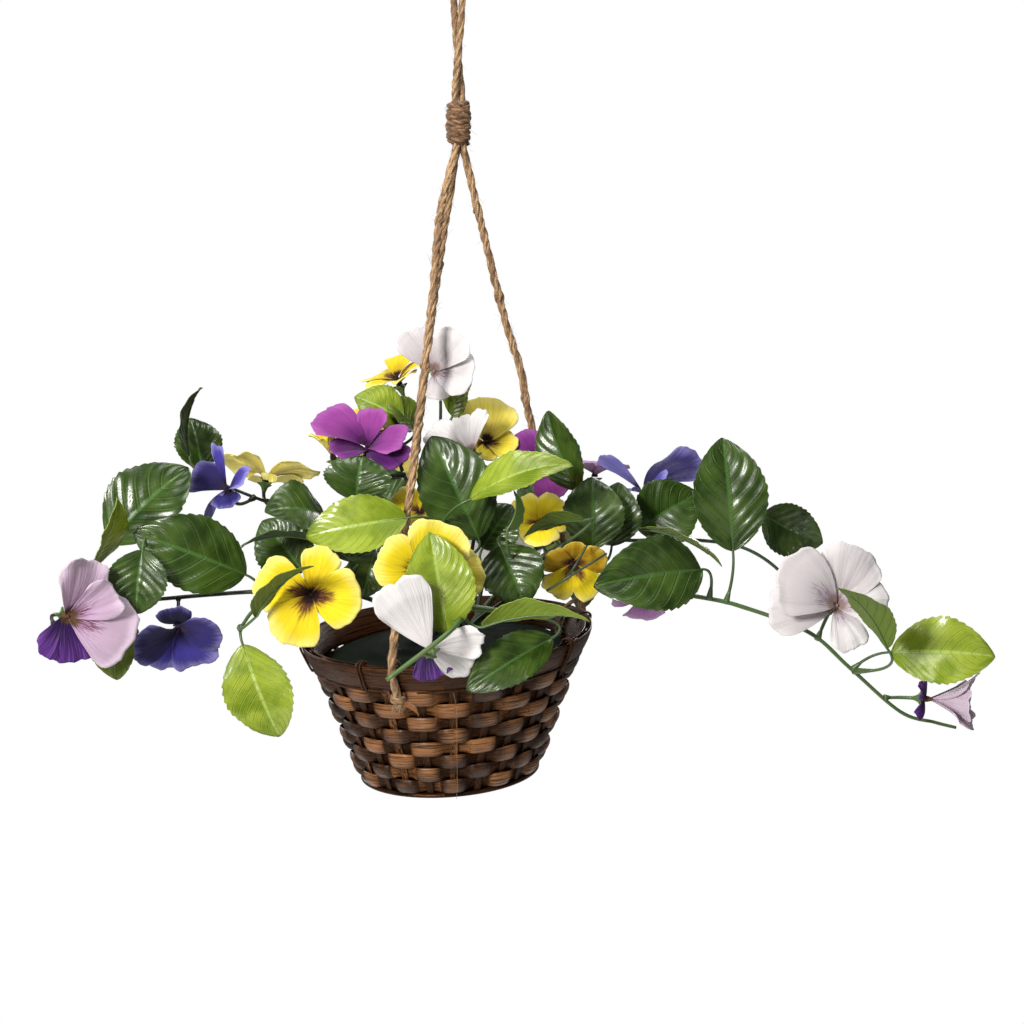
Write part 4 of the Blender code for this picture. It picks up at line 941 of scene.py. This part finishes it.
# The petals of a bloom from the hindmost: angle from straight up, size, half the angle that the
# petal spans, and how much more it flares than the bloom
PETALS = ((-38, 1.0, 40, 0), (36, 1.0, 38, 0), (-104, 0.95, 36, 0), (102, 0.95, 36, 0),
          (180, 1.08, 42, 0))
PETALS_BEHIND = ((-62, 1.0, 52, 0), (60, 1.0, 52, 0), (180, 1.0, 52, 0))
PETAL_SETS = {
    "bloom_far_left": ((-145, 0.85, 36, -4), (172, 0.82, 40, -4), (12, 1.15, 38, 8),
        (60, 0.95, 40, 16), (118, 1.15, 48, 0)),
    "bloom_left_blue": ((-8, 0.8, 42, 0), (-162, 1.12, 36, -6), (148, 1.1, 44, 0),
        (76, 1.0, 50, 0), (-80, 1.1, 50, 12)),
    "bloom_upper_blue": ((165, 0.6, 54, -10), (85, 0.85, 42, 22), (-82, 1.0, 40, 0),
        (-146, 1.0, 15, -44), (-10, 0.95, 28, 52)),
    "bloom_upper_yellow": ((180, 1.0, 50, 0), (-95, 1.1, 46, 0), (95, 1.1, 46, 0),
        (32, 0.85, 28, -8), (-26, 0.9, 17, -48)),
    "bloom_left_yellow": ((16, 0.98, 31, 4), (-73, 1.1, 41, 2), (97, 0.97, 50, 0),
        (-151, 1.04, 42, 0)),
    "bloom_magenta": ((122, 0.95, 38, -4), (-128, 0.75, 42, 0), (98, 0.9, 44, 6),
        (12, 0.70, 44, 16), (-80, 1.10, 46, 12)),
    "bloom_top_yellow": ((70, 0.6, 54, 6), (10, 0.8, 46, 8), (-166, 0.8, 46, -6),
        (-110, 1.05, 40, -8), (-48, 1.05, 42, 6)),
    "bloom_top_white": ((160, 0.7, 40, -6), (-38, 1.1, 30, 4), (102, 0.98, 46, 0),
        (42, 1.05, 40, 10)),
    "bloom_middle_white": ((170, 0.5, 48, 0), (-64, 1.3, 28, 0), (-26, 1.0, 24, 6),
        (12, 1.05, 18, 12)),
    "bloom_middle_yellow": ((-110, 0.6, 44, 0), (180, 0.5, 50, 0), (112, 0.7, 44, 0),
        (6, 1.05, 60, 0)),
    "bloom_middle_purple": ((-36, 1.0, 48, 0), (40, 1.0, 46, 0), (-110, 0.9, 44, 0),
        (150, 1.1, 46, 0)),
    "bloom_centre_yellow": ((178, 0.9, 46, 0), (-122, 0.8, 38, 0), (96, 1.05, 37, 2),
        (-68, 0.92, 45, 5), (26, 1.02, 50, 8)),
    "bloom_front_white": ((28, 1.36, 29, 0), (-84, 0.9, 26, -9), (-122, 0.95, 30, 0),
        (-166, 0.74, 38, 0)),
    "bloom_right_brown": ((0, 0.7, 46, 0), (-68, 0.85, 38, 0), (66, 0.9, 40, 0),
        (-142, 1.0, 38, 0), (140, 1.0, 38, 0)),
    "bloom_right_blue": ((72, 0.72, 38, 8), (8, 1.3, 42, -16), (156, 0.68, 26, 6),
        (-122, 0.95, 30, 30)),
    "bloom_right_white": ((-92, 1.15, 30, -6), (166, 0.8, 34, -6), (24, 1.06, 44, 6),
        (88, 0.86, 42, 0), (-62, 1.2, 42, 4)),
    "bloom_far_right": ((-150, 0.5, 44, -70), (-35, 0.48, 44, -70), (90, 1.0, 56, 0),
        (178, 1.0, 56, 0), (0, 1.04, 56, 0), (-92, 1.0, 54, 2)),
    "bud_yellow": PETALS_BEHIND,
    "bloom_behind_yellow": PETALS_BEHIND,
    "bloom_behind_magenta": PETALS_BEHIND,
    "bloom_under_mauve": PETALS_BEHIND,
    "bloom_back_mauve": PETALS_BEHIND,
}
# How a petal's sides bulge, how the bloom cups and waves, where the hindmost petal starts, how far
# the next lies in front of it, and how they fan apart
PETAL_BULGE = 0.4
PETAL_CUP = 0.10
PETAL_WAVE = 0.05
PETAL_START = 1.0 * MM
PETAL_LAYER = 1.2 * MM
PETAL_FAN = 0.035
PETAL_THICK = 0.35 * MM
PETAL_ROWS = 21
PETAL_COLUMNS = 33
# How light each petal of a bloom is where the petals differ, partly the petals' own darker and paler
# colours and partly painted shade and painted light on petals in shadow or in light, and the petals
# that are violet
PETAL_TONES_AND_SHADING = {
    "bloom_left_yellow": (0.42, 0.62, 0.52, 0.42),
    "bloom_left_blue": (0.0, 0.6, 0.35, 0.2, 0.0),
    "bloom_upper_blue": (0.25, 0.6, 0.12, 0.95, 0.75),
    "bloom_right_blue": (0.4, 0.1, 0.45, 1.0),
    "bloom_far_right": (0.3, 0.3, 0.9, 0.8, 1.0, 0.9),
    "bloom_upper_yellow": (1.0, 0.9, 1.0, 0.9, 1.0),
    "bloom_magenta": (0.0, 0.2, 0.75, 0.6, 0.65),
    "bloom_middle_purple": (0.3, 0.25, 0.4, 0.5),
    "bloom_right_brown": (0.0, 0.0, 0.05, 0.45, 0.5),
    "bloom_middle_yellow": (0.7, 0.8, 0.8, 0.9),
    "bloom_top_white": (0.2, 0.05, 0.3, 0.3),
    "bloom_right_white": (0.2, 0.4, 0.25, 0.4, 0.15),
}
VIOLET_PETALS = {"bloom_far_left": (0, 1), "bloom_far_right": (0, 1), "bloom_front_white": (3,)}
HEART_RADII = np.array([2.6, 2.6, 2.4, 2.0, 1.6, 1.3, 0.7]) * MM
# The green cup's rings from its stalk: radius, how much a sepal adds to it, and how far behind
CUP_RADII = np.array([1.3, 1.8, 2.5, 3.0, 3.4, 3.6, 3.3, 2.2])[:, None]
CUP_SEPALS = np.array([0, 0, 0.1, 0.6, 1.8, 3.0, 2.6, 0.3])[:, None]
CUP_BACK = np.array([9.0, 6.5, 4.4, 3.0, 1.9, 0.9, 0.5, 0.6])[:, None]
CUP_SIDES = 40
COLLAR_RADII = np.array([2.5, 2.4, 2.0, 1.6, 1.1])
LEAF_THICK = 0.5 * MM
LEAF_ROWS = 54
LEAF_COLUMNS = 31
LEAF_TEETH = 13.0
# The row of the leaf where its rib ends
RIB_END = 44
# The side veins: how far they slant forward, where the first one starts, and how many there are
VEIN_SLANT = 0.38
VEIN_START = 0.3
# A lime leaf in shade is painted part way to deep green, as painted shade
LEAF_VEINS = {"dark": 7.0, "shaded_lime": 7.0, "lime": 10.0}
LEAF_LIME = {"dark": 0.0, "shaded_lime": 0.4, "lime": 1.0}
STEM_FOOT = -45.0


def stem_line(name):
    (x, y), _, _, via = STEMS[name]
    foot = [RIM_CENTRE + np.array([x, y, z]) * MM for z in (STEM_FOOT, 5.0)]
    return np.array(foot + [spot(place) for place in via])


def nearest(line, place):
    """The place on the stem's line nearest to a point, above the foam."""
    a, b = line[1:-1], line[2:]
    along = b - a
    t = np.clip(((place - a) * along).sum(axis=1) / (along ** 2).sum(axis=1), 0, 1)
    found = a + along * t[:, None]
    return found[np.linalg.norm(found - place, axis=1).argmin()]


def bend(start, control, end, steps):
    """A quadratic curve from start to end that leans towards the control point."""
    t = np.linspace(0, 1, steps)[:, None]
    return (1 - t) ** 2 * start + 2 * t * (1 - t) * control + t * t * end


def leaf_surface(base, tip, face, width, veins, arch, chance):
    """The blade over t along it and s across it, -1 to 1. Half its width is sin(pi t^0.9)^0.7 of
    half the leaf's, and its margin is toothed. It rises by the arch 4t(1-t), the fold |s|, a pillow
    between side veins, |sin(pi p)| with p = veins (t - 0.38 |s|) + 0.3, and slow waves of the
    margin, and its tip droops."""
    axis = tip - base
    length = np.linalg.norm(axis)
    ahead = axis / length
    up = unit(face - ahead * (face @ ahead))
    side = np.cross(ahead, up)
    t = np.linspace(0, 1, LEAF_ROWS)[:, None]
    even = np.linspace(-1, 1, LEAF_COLUMNS)
    s = np.sin(even * math.pi / 2 * 0.94)[None] / math.sin(math.pi / 2 * 0.94)
    half = 0.5 * width * np.maximum(np.sin(math.pi * t ** 0.9), 0.0) ** 0.7
    half = np.maximum(half, 0.5 * MM)
    saw = (LEAF_TEETH * t - 0.35 + chance.random()) % 1.0
    tooth = 0.075 * (saw - 0.55 - 1.2 * np.maximum(saw - 0.86, 0) / 0.14 * saw)
    taper = np.sin(math.pi * t) ** 0.4
    spread = s * half * (1 + tooth * taper * np.abs(s) ** 9)
    phase = veins * (t - VEIN_SLANT * np.abs(s)) + VEIN_START
    pillow = np.abs(np.sin(math.pi * phase)) * (1 - np.abs(s) ** 5) * taper
    height = chance.uniform(0.85, 1.35) * MM * width / (50 * MM) * (8.0 / veins)
    pillow *= height * (1 - np.exp(-(np.abs(s) * 9) ** 2))
    pillow *= 1 + 0.5 * np.sin(7 * t + 4 * s + chance.uniform(0, 6)) * np.sin(3 * s + 5 * t)
    wave = np.sin(math.tau * (1.6 * t + chance.random()))
    wave = wave + 0.6 * np.sin(math.tau * (3.7 * t + chance.random()))
    tilt = chance.uniform(-1, 1)
    ripple = 0.022 * width * wave * np.abs(s) ** 2.5 * np.sign(s + 0.2 * tilt)
    droop = -0.05 * length * np.maximum(t - 0.7, 0) / 0.3 * (t - 0.7)
    fold = 0.22 * (np.sqrt(s ** 2 + 0.0016) - 0.04) * half
    rise = arch * 4 * t * (1 - t) + fold + pillow + ripple + droop
    points = base + axis * t[..., None] + side * spread[..., None] + up * rise[..., None]
    return points, up


def add_collar(piece, root, end, girth, tone):
    """Where a stalk leaves its stem: a short cone from the stem's middle to a place on it."""
    radius = (COLLAR_RADII + girth) * MM
    path = between(root, end, np.linspace(0, 1, len(radius)))
    piece.tube(path, radius, sides=10, finish=1, tone=tone)


def add_leaf(piece, row, line, green, chance):
    """The blade, a rod that is the leaf's stalk and then the rib under the blade, and a collar."""
    colour, base, tip, face, width, arch = row
    base, tip = spot(base), spot(tip)
    face = np.array(face, float)
    ahead = unit(tip - base)
    root = nearest(line, base - ahead * 14 * MM)
    reach = np.linalg.norm(base - root)
    points, up = leaf_surface(base, tip, face, width * MM, LEAF_VEINS[colour], arch * MM, chance)
    tone = chance.random()
    piece.sheet(points, LEAF_THICK, lime=LEAF_LIME[colour], tone=tone)
    stalk = bend(root, base - ahead * 0.45 * reach, base, 14)
    rib = points[1:RIB_END, LEAF_COLUMNS // 2] - up * 0.45 * MM
    radius = np.concatenate([np.linspace(1.25, 0.95, len(stalk)), np.linspace(0.95, 0.3, len(rib))])
    piece.tube(np.vstack([stalk, rib]), radius * MM, finish=1, tone=0.55 + 0.35 * tone)
    add_collar(piece, root, stalk[3], 0.0, green)


def bloom_axes(row):
    """The bloom's place, and its right, up and forward directions."""
    _, _, place, face, _, _ = row
    forward = unit(np.array(face, float))
    right = np.cross((0, 0, 1), forward)
    right = unit(right) if np.linalg.norm(right) > 0.2 else np.array([1.0, 0, 0])
    return spot(place), right, np.cross(forward, right), forward


def petal_surface(row, petal, layer, phases, chance):
    """A petal over u across and v along it. It runs out v times 0.64 + 0.36 (1 - |u|^2.6)^0.38,
    scalloped, and leans forward by its flare. To that it adds the bloom's cup and wave, a layer in
    front of the last, a ruffle that grows as v^2.6 times sines of u, an edge that rolls back, a low
    ridge down the middle, and furrows that are a sine of u."""
    centre, right, up, forward = bloom_axes(row)
    angle, size, spread, more = petal
    length = row[4] * MM
    flare = math.radians(row[5] + more)
    u = np.sin(np.linspace(-1, 1, PETAL_COLUMNS) * math.pi / 2)[None]
    v = np.linspace(0.03, 1, PETAL_ROWS)[:, None]
    a, b, c = (chance.uniform(0, math.tau) for _ in range(3))
    scallop = 1 + v ** 3 * (0.024 * np.sin(6 * u + a) + 0.013 * np.sin(15 * u + b)
                            + 0.006 * np.sin(31 * u + c))
    edge = 0.64 + 0.36 * np.maximum(1 - np.abs(u) ** 2.6, 0) ** 0.38
    run = length * size * v * edge * scallop
    turn = np.radians(angle + u * spread * (1 + PETAL_BULGE * (1 - v)))
    wave = np.sin(2 * turn + phases[0]) + 0.5 * np.sin(3 * turn + phases[1])
    share = run / length
    rise = run * math.sin(flare)
    rise = rise + PETAL_CUP * length * np.sin(math.pi * np.minimum(share, 1))
    rise = rise + PETAL_WAVE * length * share ** 2 * wave
    rise = rise + layer * (PETAL_LAYER + PETAL_FAN * run) + PETAL_START
    ruffle = 0.030 * np.sin(4.6 * u + b) + 0.014 * np.sin(10.5 * u + c) + 0.006 * np.sin(23 * u + a)
    rise = rise + length * v ** 2.6 * ruffle
    rise = rise - 0.05 * length * np.maximum(v - 0.8, 0) / 0.2 * (0.6 + 0.4 * np.sin(5 * u + c))
    rise = rise + 0.012 * length * np.exp(-(u * 6) ** 2) * np.sin(math.pi * v)
    rise = rise + 0.0045 * length * np.sin(17 * u + b) * np.sin(math.pi * v) * (1 - 0.4 * np.abs(u))
    out = swung(turn, up, right)
    return centre + out * (run * math.cos(flare))[..., None] + forward * rise[..., None]


def make_bloom(name, row, phases, finish, chance):
    """The petals, each a thin sheet, and a small tapered heart that holds them together."""
    piece = Piece(name + "_petals")
    centre, _, _, forward = bloom_axes(row)
    petals = PETAL_SETS.get(name, PETALS)
    tones = PETAL_TONES_AND_SHADING.get(name) or [chance.uniform(0.4, 0.7) for _ in petals]
    for layer, petal in enumerate(petals):
        points = petal_surface(row, petal, layer, phases, chance)
        violet = 1.0 if layer in VIOLET_PETALS.get(name, ()) else 0.0
        brush = 1.0 if abs(petal[0]) > 55 else 0.3
        piece.sheet(points, PETAL_THICK, brush=brush, violet=violet, tone=tones[layer])
    top = PETAL_START + len(petals) * PETAL_LAYER
    heart = centre + forward * np.linspace(0.2 * MM, top + 0.8 * MM, len(HEART_RADII))[:, None]
    piece.tube(heart, HEART_RADII, sides=12, brush=1.0)
    piece.made([finish], row[1] + "_petal", [name])


def add_calyx(piece, row, line, green):
    """Behind the petals: a cup whose radius widens from its stalk and swells at five sepals as
    the cosine of five times the angle, then turns back inside itself."""
    centre, right, up, forward = bloom_axes(row)
    angle = np.arange(CUP_SIDES) * math.tau / CUP_SIDES
    sepal = np.maximum(np.cos(5 * angle), 0) ** 0.8
    radius = CUP_RADII + CUP_SEPALS * sepal
    out = swung(angle, up, right)
    points = centre + (out * radius[..., None] - forward * CUP_BACK[..., None]) * MM
    piece.grid(points, finish=1, caps=True, tone=0.9)
    root = nearest(line, centre - forward * 34 * MM)
    start = centre - forward * 7.0 * MM
    stalk = bend(start, start - forward * 0.5 * np.linalg.norm(start - root), root, 16)
    piece.tube(stalk, np.linspace(1.5, 1.25, 16) * MM, finish=1, tone=green)
    add_collar(piece, root, stalk[12], 0.1, green)


def make_stem(name, leaf, stem, chance):
    """A stem whose radius narrows along it and swells at its knots, with its leaves, the green cups
    of its blooms and their stalks."""
    line = stem_line(name)
    _, radius, green, _ = STEMS[name]
    piece = Piece(name + "_leaves")
    path = smooth_path(line, 10)
    t = np.linspace(0, 1, len(path))
    knots = 1 + 0.06 * np.sin(t * 60) ** 8
    piece.tube(path, radius * MM * (1 - 0.4 * t) * knots, sides=12, finish=1, tone=green)
    for row in LEAVES.get(name, ()):
        add_leaf(piece, row, line, green, chance)
    for row in BLOOMS.values():
        if row[0] == name:
            add_calyx(piece, row, line, green)
    for places in BARE_STALKS.get(name, ()):
        stalk = smooth_path([spot(place) for place in places], 8)
        piece.tube(stalk, np.linspace(1.0, 0.8, len(stalk)) * MM, finish=1, tone=green)
    piece.made([leaf, stem], "leaf", [name])


# Finishes

# Each jute: its dark and its tan
JUTES = {
    "jute": ((0.13, 0.062, 0.024), (0.54, 0.345, 0.175)),
    "whipping cord": ((0.065, 0.026, 0.009), (0.36, 0.195, 0.085)),
}
# Each stain: dark, bright and copper, and how thick its varnish is; copper goes where the stain wears
# thin and as painted highlight where a strip stands proud
STAINS = {
    "stained chip": ((0.0035, 0.0012, 0.0006), (0.034, 0.0115, 0.0048), (0.33, 0.14, 0.05), 0.4),
    "stained hoop": ((0.008, 0.0025, 0.001), (0.06, 0.02, 0.0075), (0.27, 0.115, 0.045), 0.3),
    "stained cane": ((0.02, 0.009, 0.005), (0.075, 0.032, 0.013), (0.17, 0.08, 0.03), 0.0),
}
COPPER_GLOSS = (1.0, 0.55, 0.28, 1.0)
# The leaves' colours: the dark and light clouds of a green leaf and of a lime one, and the green
# and the lime of the veins, midrib and edge, and of the under side and its veins
DEEP_CLOUDS = ((0.010, 0.026, 0.0015), (0.046, 0.090, 0.006))
LIME_CLOUDS = ((0.135, 0.205, 0.006), (0.28, 0.36, 0.024))
LEAF_VEIN = ((0.060, 0.11, 0.015), (0.36, 0.43, 0.07))
LEAF_MIDRIB = ((0.055, 0.13, 0.025), (0.36, 0.48, 0.11))
LEAF_EDGE = ((0.09, 0.18, 0.05), (0.48, 0.58, 0.16))
LEAF_UNDER = ((0.030, 0.055, 0.008), (0.20, 0.29, 0.022))
LEAF_UNDER_VEIN = ((0.055, 0.10, 0.03), (0.34, 0.44, 0.12))
# A violet petal at its heart and at its rim
VIOLETS = ((0.020, 0.004, 0.065), (0.085, 0.022, 0.19))
# Each petal colour: shade (the colour of darker petals and of painted shade), heart, middle, rim (also
# the colour of painted light), whiskers and throat, how strong and how dense the strokes are, and how
# strong the streaks are
PETAL_COLOURS = {
    "yellow": ((0.40, 0.23, 0.006), (0.66, 0.45, 0.006), (0.71, 0.56, 0.012), (0.79, 0.70, 0.20),
               (0.085, 0.022, 0.012), (0.022, 0.007, 0.005), 1.0, 0.20, 0.16),
    "white": ((0.47, 0.43, 0.445), (0.52, 0.45, 0.475), (0.65, 0.625, 0.63), (0.74, 0.72, 0.72),
              (0.14, 0.06, 0.13), (0.24, 0.16, 0.15), 0.9, 0.06, 0.10),
    "magenta": ((0.085, 0.012, 0.13), (0.10, 0.012, 0.12), (0.235, 0.038, 0.225),
                (0.34, 0.09, 0.33), (0.05, 0.006, 0.07), (0.05, 0.006, 0.05), 0.35, 0.1, 0.22),
    "blue": ((0.010, 0.007, 0.046), (0.016, 0.011, 0.085), (0.050, 0.038, 0.30),
             (0.28, 0.25, 0.60), (0.008, 0.005, 0.04), (0.02, 0.01, 0.03), 0.5, 0.1, 0.36),
    "lilac": ((0.40, 0.22, 0.42), (0.50, 0.33, 0.50), (0.45, 0.325, 0.435), (0.58, 0.48, 0.575),
              (0.11, 0.03, 0.06), (0.10, 0.05, 0.02), 1.0, 0.12, 0.18),
    "mauve": ((0.17, 0.06, 0.19), (0.22, 0.09, 0.24), (0.36, 0.17, 0.38), (0.50, 0.32, 0.52),
              (0.10, 0.02, 0.10), (0.08, 0.02, 0.05), 0.6, 0.1, 0.2),
}


def jute_finish(name, dark, tan):
    """Tan fibres that run along each strand, rough and hairy, darker where the tone is low, which
    paints shade on the core in the hollows.
    """
    f = Finish(name, Roughness=0.75, Sheen_Weight=0.1, Sheen_Roughness=0.6)
    across, along = f.surface_place()
    tone = f.attribute("tone")
    strands = f.grain(across * 11, along * 160, tone * 3, 4.0, 0.65)
    patches = f.patches(120.0, 3.0)
    light = f.mix(strands.band(0.36, 0.64), dark, tan)
    # Low tones darken towards the dark colour: at random on strands and slubs, and as painted shade on
    # the rope's core
    light = f.mix(tone.band(0.5, 0.0) * 0.7, light, dark)
    colour = f.mix(patches.band(0.56, 0.75) * 0.6, light, dark)
    height = strands * 0.7 + patches * 0.3
    return f.feed(Base_Color=colour, Normal=f.bump(height, 0.0006))


def chip_finish(name, dark, bright, copper, coat):
    """Stained wood strip: streaks along the grain, copper where the stain wears thin and as painted
    highlight where a strip stands proud, and a varnish whose gloss varies."""
    f = Finish(name, Coat_Roughness=0.3, Specular_IOR_Level=0.3, Specular_Tint=COPPER_GLOSS)
    across, along = f.surface_place()
    tone, crown = f.attribute("tone"), f.attribute("crown")
    grain = f.grain(across * 16, along * 26, tone * 31, 4.0, 0.62)
    fine = f.grain(across * 70, along * 60, tone * 17, 3.0)
    blotch = f.patches(34.0, 3.0)
    colour = f.mix(grain.band(0.36, 0.66), dark, bright)
    # Copper: partly real wear on proud places, partly painted highlight on the middle of each outer
    # bow
    wear_and_highlight = (blotch * 0.9 + tone * 0.5 + crown * 0.45).band(0.78, 1.25) * grain.band(0.34, 0.60)
    colour = f.mix(wear_and_highlight, colour, copper)
    colour = f.mix(fine.band(0.56, 0.70) * 0.85, colour, dark)
    rough = 0.26 + 0.2 * grain.band(0.4, 0.7)
    return f.feed(Base_Color=colour, Roughness=rough, Coat_Weight=coat * crown.band(0.2, 0.9),
                  Normal=f.bump(grain * 0.5 + fine * 0.5, 0.0008))


def foam_finish():
    """Dark green flower foam: a fine open grain and lighter patches."""
    f = Finish("foam", Roughness=0.85, Specular_IOR_Level=0.05)
    grain = f.patches(900.0, 2.0)
    patches = f.patches(22.0, 3.0)
    colour = f.mix(patches.band(0.3, 0.75), (0.002, 0.005, 0.002), (0.004, 0.011, 0.005))
    return f.feed(Base_Color=colour, Normal=f.bump(grain, 0.0005))


def stem_finish():
    """Moulded plastic: from near black to fresh green by its tone, with patches of dull yellowish
    green.
    """
    f = Finish("stem", Coat_Roughness=0.2)
    tone = f.attribute("tone")
    patches = f.patches(60.0, 3.0)
    dark = f.mix(tone.band(0.0, 0.45), (0.005, 0.012, 0.006), (0.022, 0.05, 0.014))
    colour = f.mix(tone.band(0.4, 1.0), dark, (0.072, 0.135, 0.032))
    colour = f.mix(patches.band(0.45, 0.8) * 0.45, colour, (0.11, 0.13, 0.045))
    return f.feed(Base_Color=colour, Roughness=0.36 + patches * 0.2, Coat_Weight=0.25 * patches)


def leaf_finish():
    """Glossy moulded leaf: deep green or lime by its mark, its veins, midrib and edge paler, the
    under side duller."""
    f = Finish("leaf", Coat_Roughness=0.2, Specular_IOR_Level=0.3)
    across, along = f.surface_place()
    lime, tone, under = f.attribute("lime"), f.attribute("tone"), f.attribute("under")
    out = abs(across * 2 - 1)
    veins = LEAF_VEINS["dark"] + lime.band(0.6, 0.9) * (LEAF_VEINS["lime"] - LEAF_VEINS["dark"])
    phase = veins * (along - VEIN_SLANT * out) + VEIN_START
    beside = abs((phase + 0.5).fraction() - 0.5)
    vein = beside.band(0.085, 0.015) * out.band(1.0, 0.6)
    fine = abs((phase * 4.0 + 0.5).fraction() - 0.5).band(0.32, 0.1)
    midrib = out.band(0.05, 0.02)
    cloud = f.grain(across * 3, along * 4, tone * 23, 4.0)
    speck = f.grain(across * 26, along * 40, tone * 9, 2.0)
    deep = f.mix(cloud.band(0.32, 0.68), *DEEP_CLOUDS)
    fresh = f.mix(cloud.band(0.32, 0.68), *LIME_CLOUDS)
    deep = f.mix(tone * 0.5, deep, (0.022, 0.052, 0.005))
    upper = f.mix(lime, deep, fresh)
    upper = f.mix(vein * 0.45, upper, f.mix(lime, *LEAF_VEIN))
    upper = f.mix(fine * 0.05, upper, (0.02, 0.055, 0.006))
    upper = f.mix(midrib * 0.7, upper, f.mix(lime, *LEAF_MIDRIB))
    edge = out.band(0.955, 1.0) * (1 - under)
    upper = f.mix(edge * 0.35, upper, f.mix(lime, *LEAF_EDGE))
    dull = f.mix(lime, *LEAF_UNDER)
    dull = f.mix(vein * 0.35 + midrib * 0.6, dull, f.mix(lime, *LEAF_UNDER_VEIN))
    colour = f.mix(under, upper, dull)
    rough = 0.30 + 0.22 * cloud + under * 0.2
    height = speck * 0.2 + cloud * 0.35 - fine * 0.05 - vein * 0.5
    coat = (0.55 - under * 0.4) * cloud.band(0.35, 0.6)
    return f.feed(Base_Color=colour, Roughness=rough, Coat_Weight=coat, Normal=f.bump(height, 0.0007))


def petal_finish(name, shade, heart, middle, rim, whisker, throat, strokes, fill, streaks):
    """Printed cloth petal: colour runs from its heart to a paler rim in fibrous streaks, with dark
    strokes that fan out of the throat. Low tones darken towards the shade colour and high tones pale
    towards the rim, partly real colour and partly painted shade and painted light; the under side is
    painted paler, as of light shining through."""
    f = Finish(name, Roughness=0.68, Sheen_Weight=0.04, Sheen_Roughness=0.5, Specular_IOR_Level=0.15)
    across, along = f.surface_place()
    brush, tone, violet = f.attribute("brush"), f.attribute("tone"), f.attribute("violet")
    under = f.attribute("under")
    out = abs(across * 2 - 1)
    seed = tone * 37 + brush * 11
    fibre = f.grain(across * 38, along * 1.8, seed, 5.0, 0.62)
    broad = f.grain(across * 5, along * 1.8, seed, 2.0)
    at = along + (fibre - 0.5) * streaks + (broad - 0.5) * 0.22
    ground = f.mix(at.band(0.08, 0.6), heart, middle)
    ground = f.mix((at + out * 0.16).band(0.72, 1.10), ground, rim)
    # Low tones: darker petals and painted shade, mixed towards the shade colour
    ground = f.mix(tone.band(0.55, 0.0) * (1 - (at + out * 0.1).band(0.75, 1.1) * 0.4), ground, shade)
    # High tones: painted light, partly paler petals, mixed towards the rim colour
    ground = f.mix(tone.band(0.7, 1.0) * 0.6, ground, rim)
    deep = f.mix(at.band(0.25, 1.0), *VIOLETS)
    # Under side: painted light shining through the petal, mixed towards the rim colour
    ground = f.mix(under * 0.6, ground, rim)
    ground = f.mix(violet, ground, deep)
    vein = f.grain(across * 60, along * 1.2, seed + 3, 2.0)
    ground = f.mix(vein.band(0.50, 0.66) * 0.20, ground, shade)
    spread = f.grain(across * 110, along * 6.0, seed + 5, 3.0, 0.6)
    reach = (along - 0.44 - (fibre - 0.5) * 0.55 + out * 0.34).band(0.16, -0.16)
    lines = (spread + reach * fill).band(0.52, 0.62)
    stroke = lines * reach * brush * strokes * (1 - violet) * (1 - under * 0.8)
    colour = f.mix(stroke, ground, whisker)
    colour = f.mix((along + (fibre - 0.5) * 0.14).band(0.20, 0.10) * (1 - under), colour, throat)
    height = fibre * 0.6 + vein * 0.4
    return f.feed(Base_Color=colour, Normal=f.bump(height, 0.0008))


def floor_finish():
    """Pale floor, hardly mottled."""
    f = Finish("floor", Roughness=0.85)
    return f.feed(Base_Color=f.mix(f.patches(3.0, 3.0), (0.78, 0.78, 0.77), (0.82, 0.82, 0.81)))


def make_floor():
    """A level disc below the basket, just out of the camera's frame."""
    turn = np.arange(FLOOR_SIDES) * math.tau / FLOOR_SIDES
    rim = coil(turn, FLOOR_RADIUS, FLOOR_RADIUS, FLOOR_HEIGHT)
    mesh = bpy.data.meshes.new("floor")
    mesh.from_pydata(rim.tolist(), [], [range(FLOOR_SIDES)])
    mesh.materials.append(floor_finish())
    floor = bpy.data.objects.new("floor", mesh)
    bpy.context.scene.collection.objects.link(floor)


def main():
    make_camera()
    light_studio()
    make_floor()
    chance = random.Random(SHAPE_SEED)
    jute, cord = (jute_finish(name, *colours) for name, colours in JUTES.items())
    for name in LEGS:
        make_leg(name, jute, chance)
    make_whipping(cord, chance)
    make_loop(jute, chance)
    chip, hoop, cane = (chip_finish(name, *colours) for name, colours in STAINS.items())
    make_weavers(chip, chance)
    make_frame(chip, chance)
    make_rims(hoop)
    make_lashings(cane, chance)
    make_foam(foam_finish())
    leaf, stem = leaf_finish(), stem_finish()
    for name in STEMS:
        make_stem(name, leaf, stem, chance)
    petals = {key: petal_finish(key + " petal", *row) for key, row in PETAL_COLOURS.items()}
    waves = random.Random(WAVE_SEED)
    for name, row in BLOOMS.items():
        phases = (waves.uniform(0, math.tau), waves.uniform(0, math.tau))
        make_bloom(name, row, phases, petals[row[1]], chance)


main()
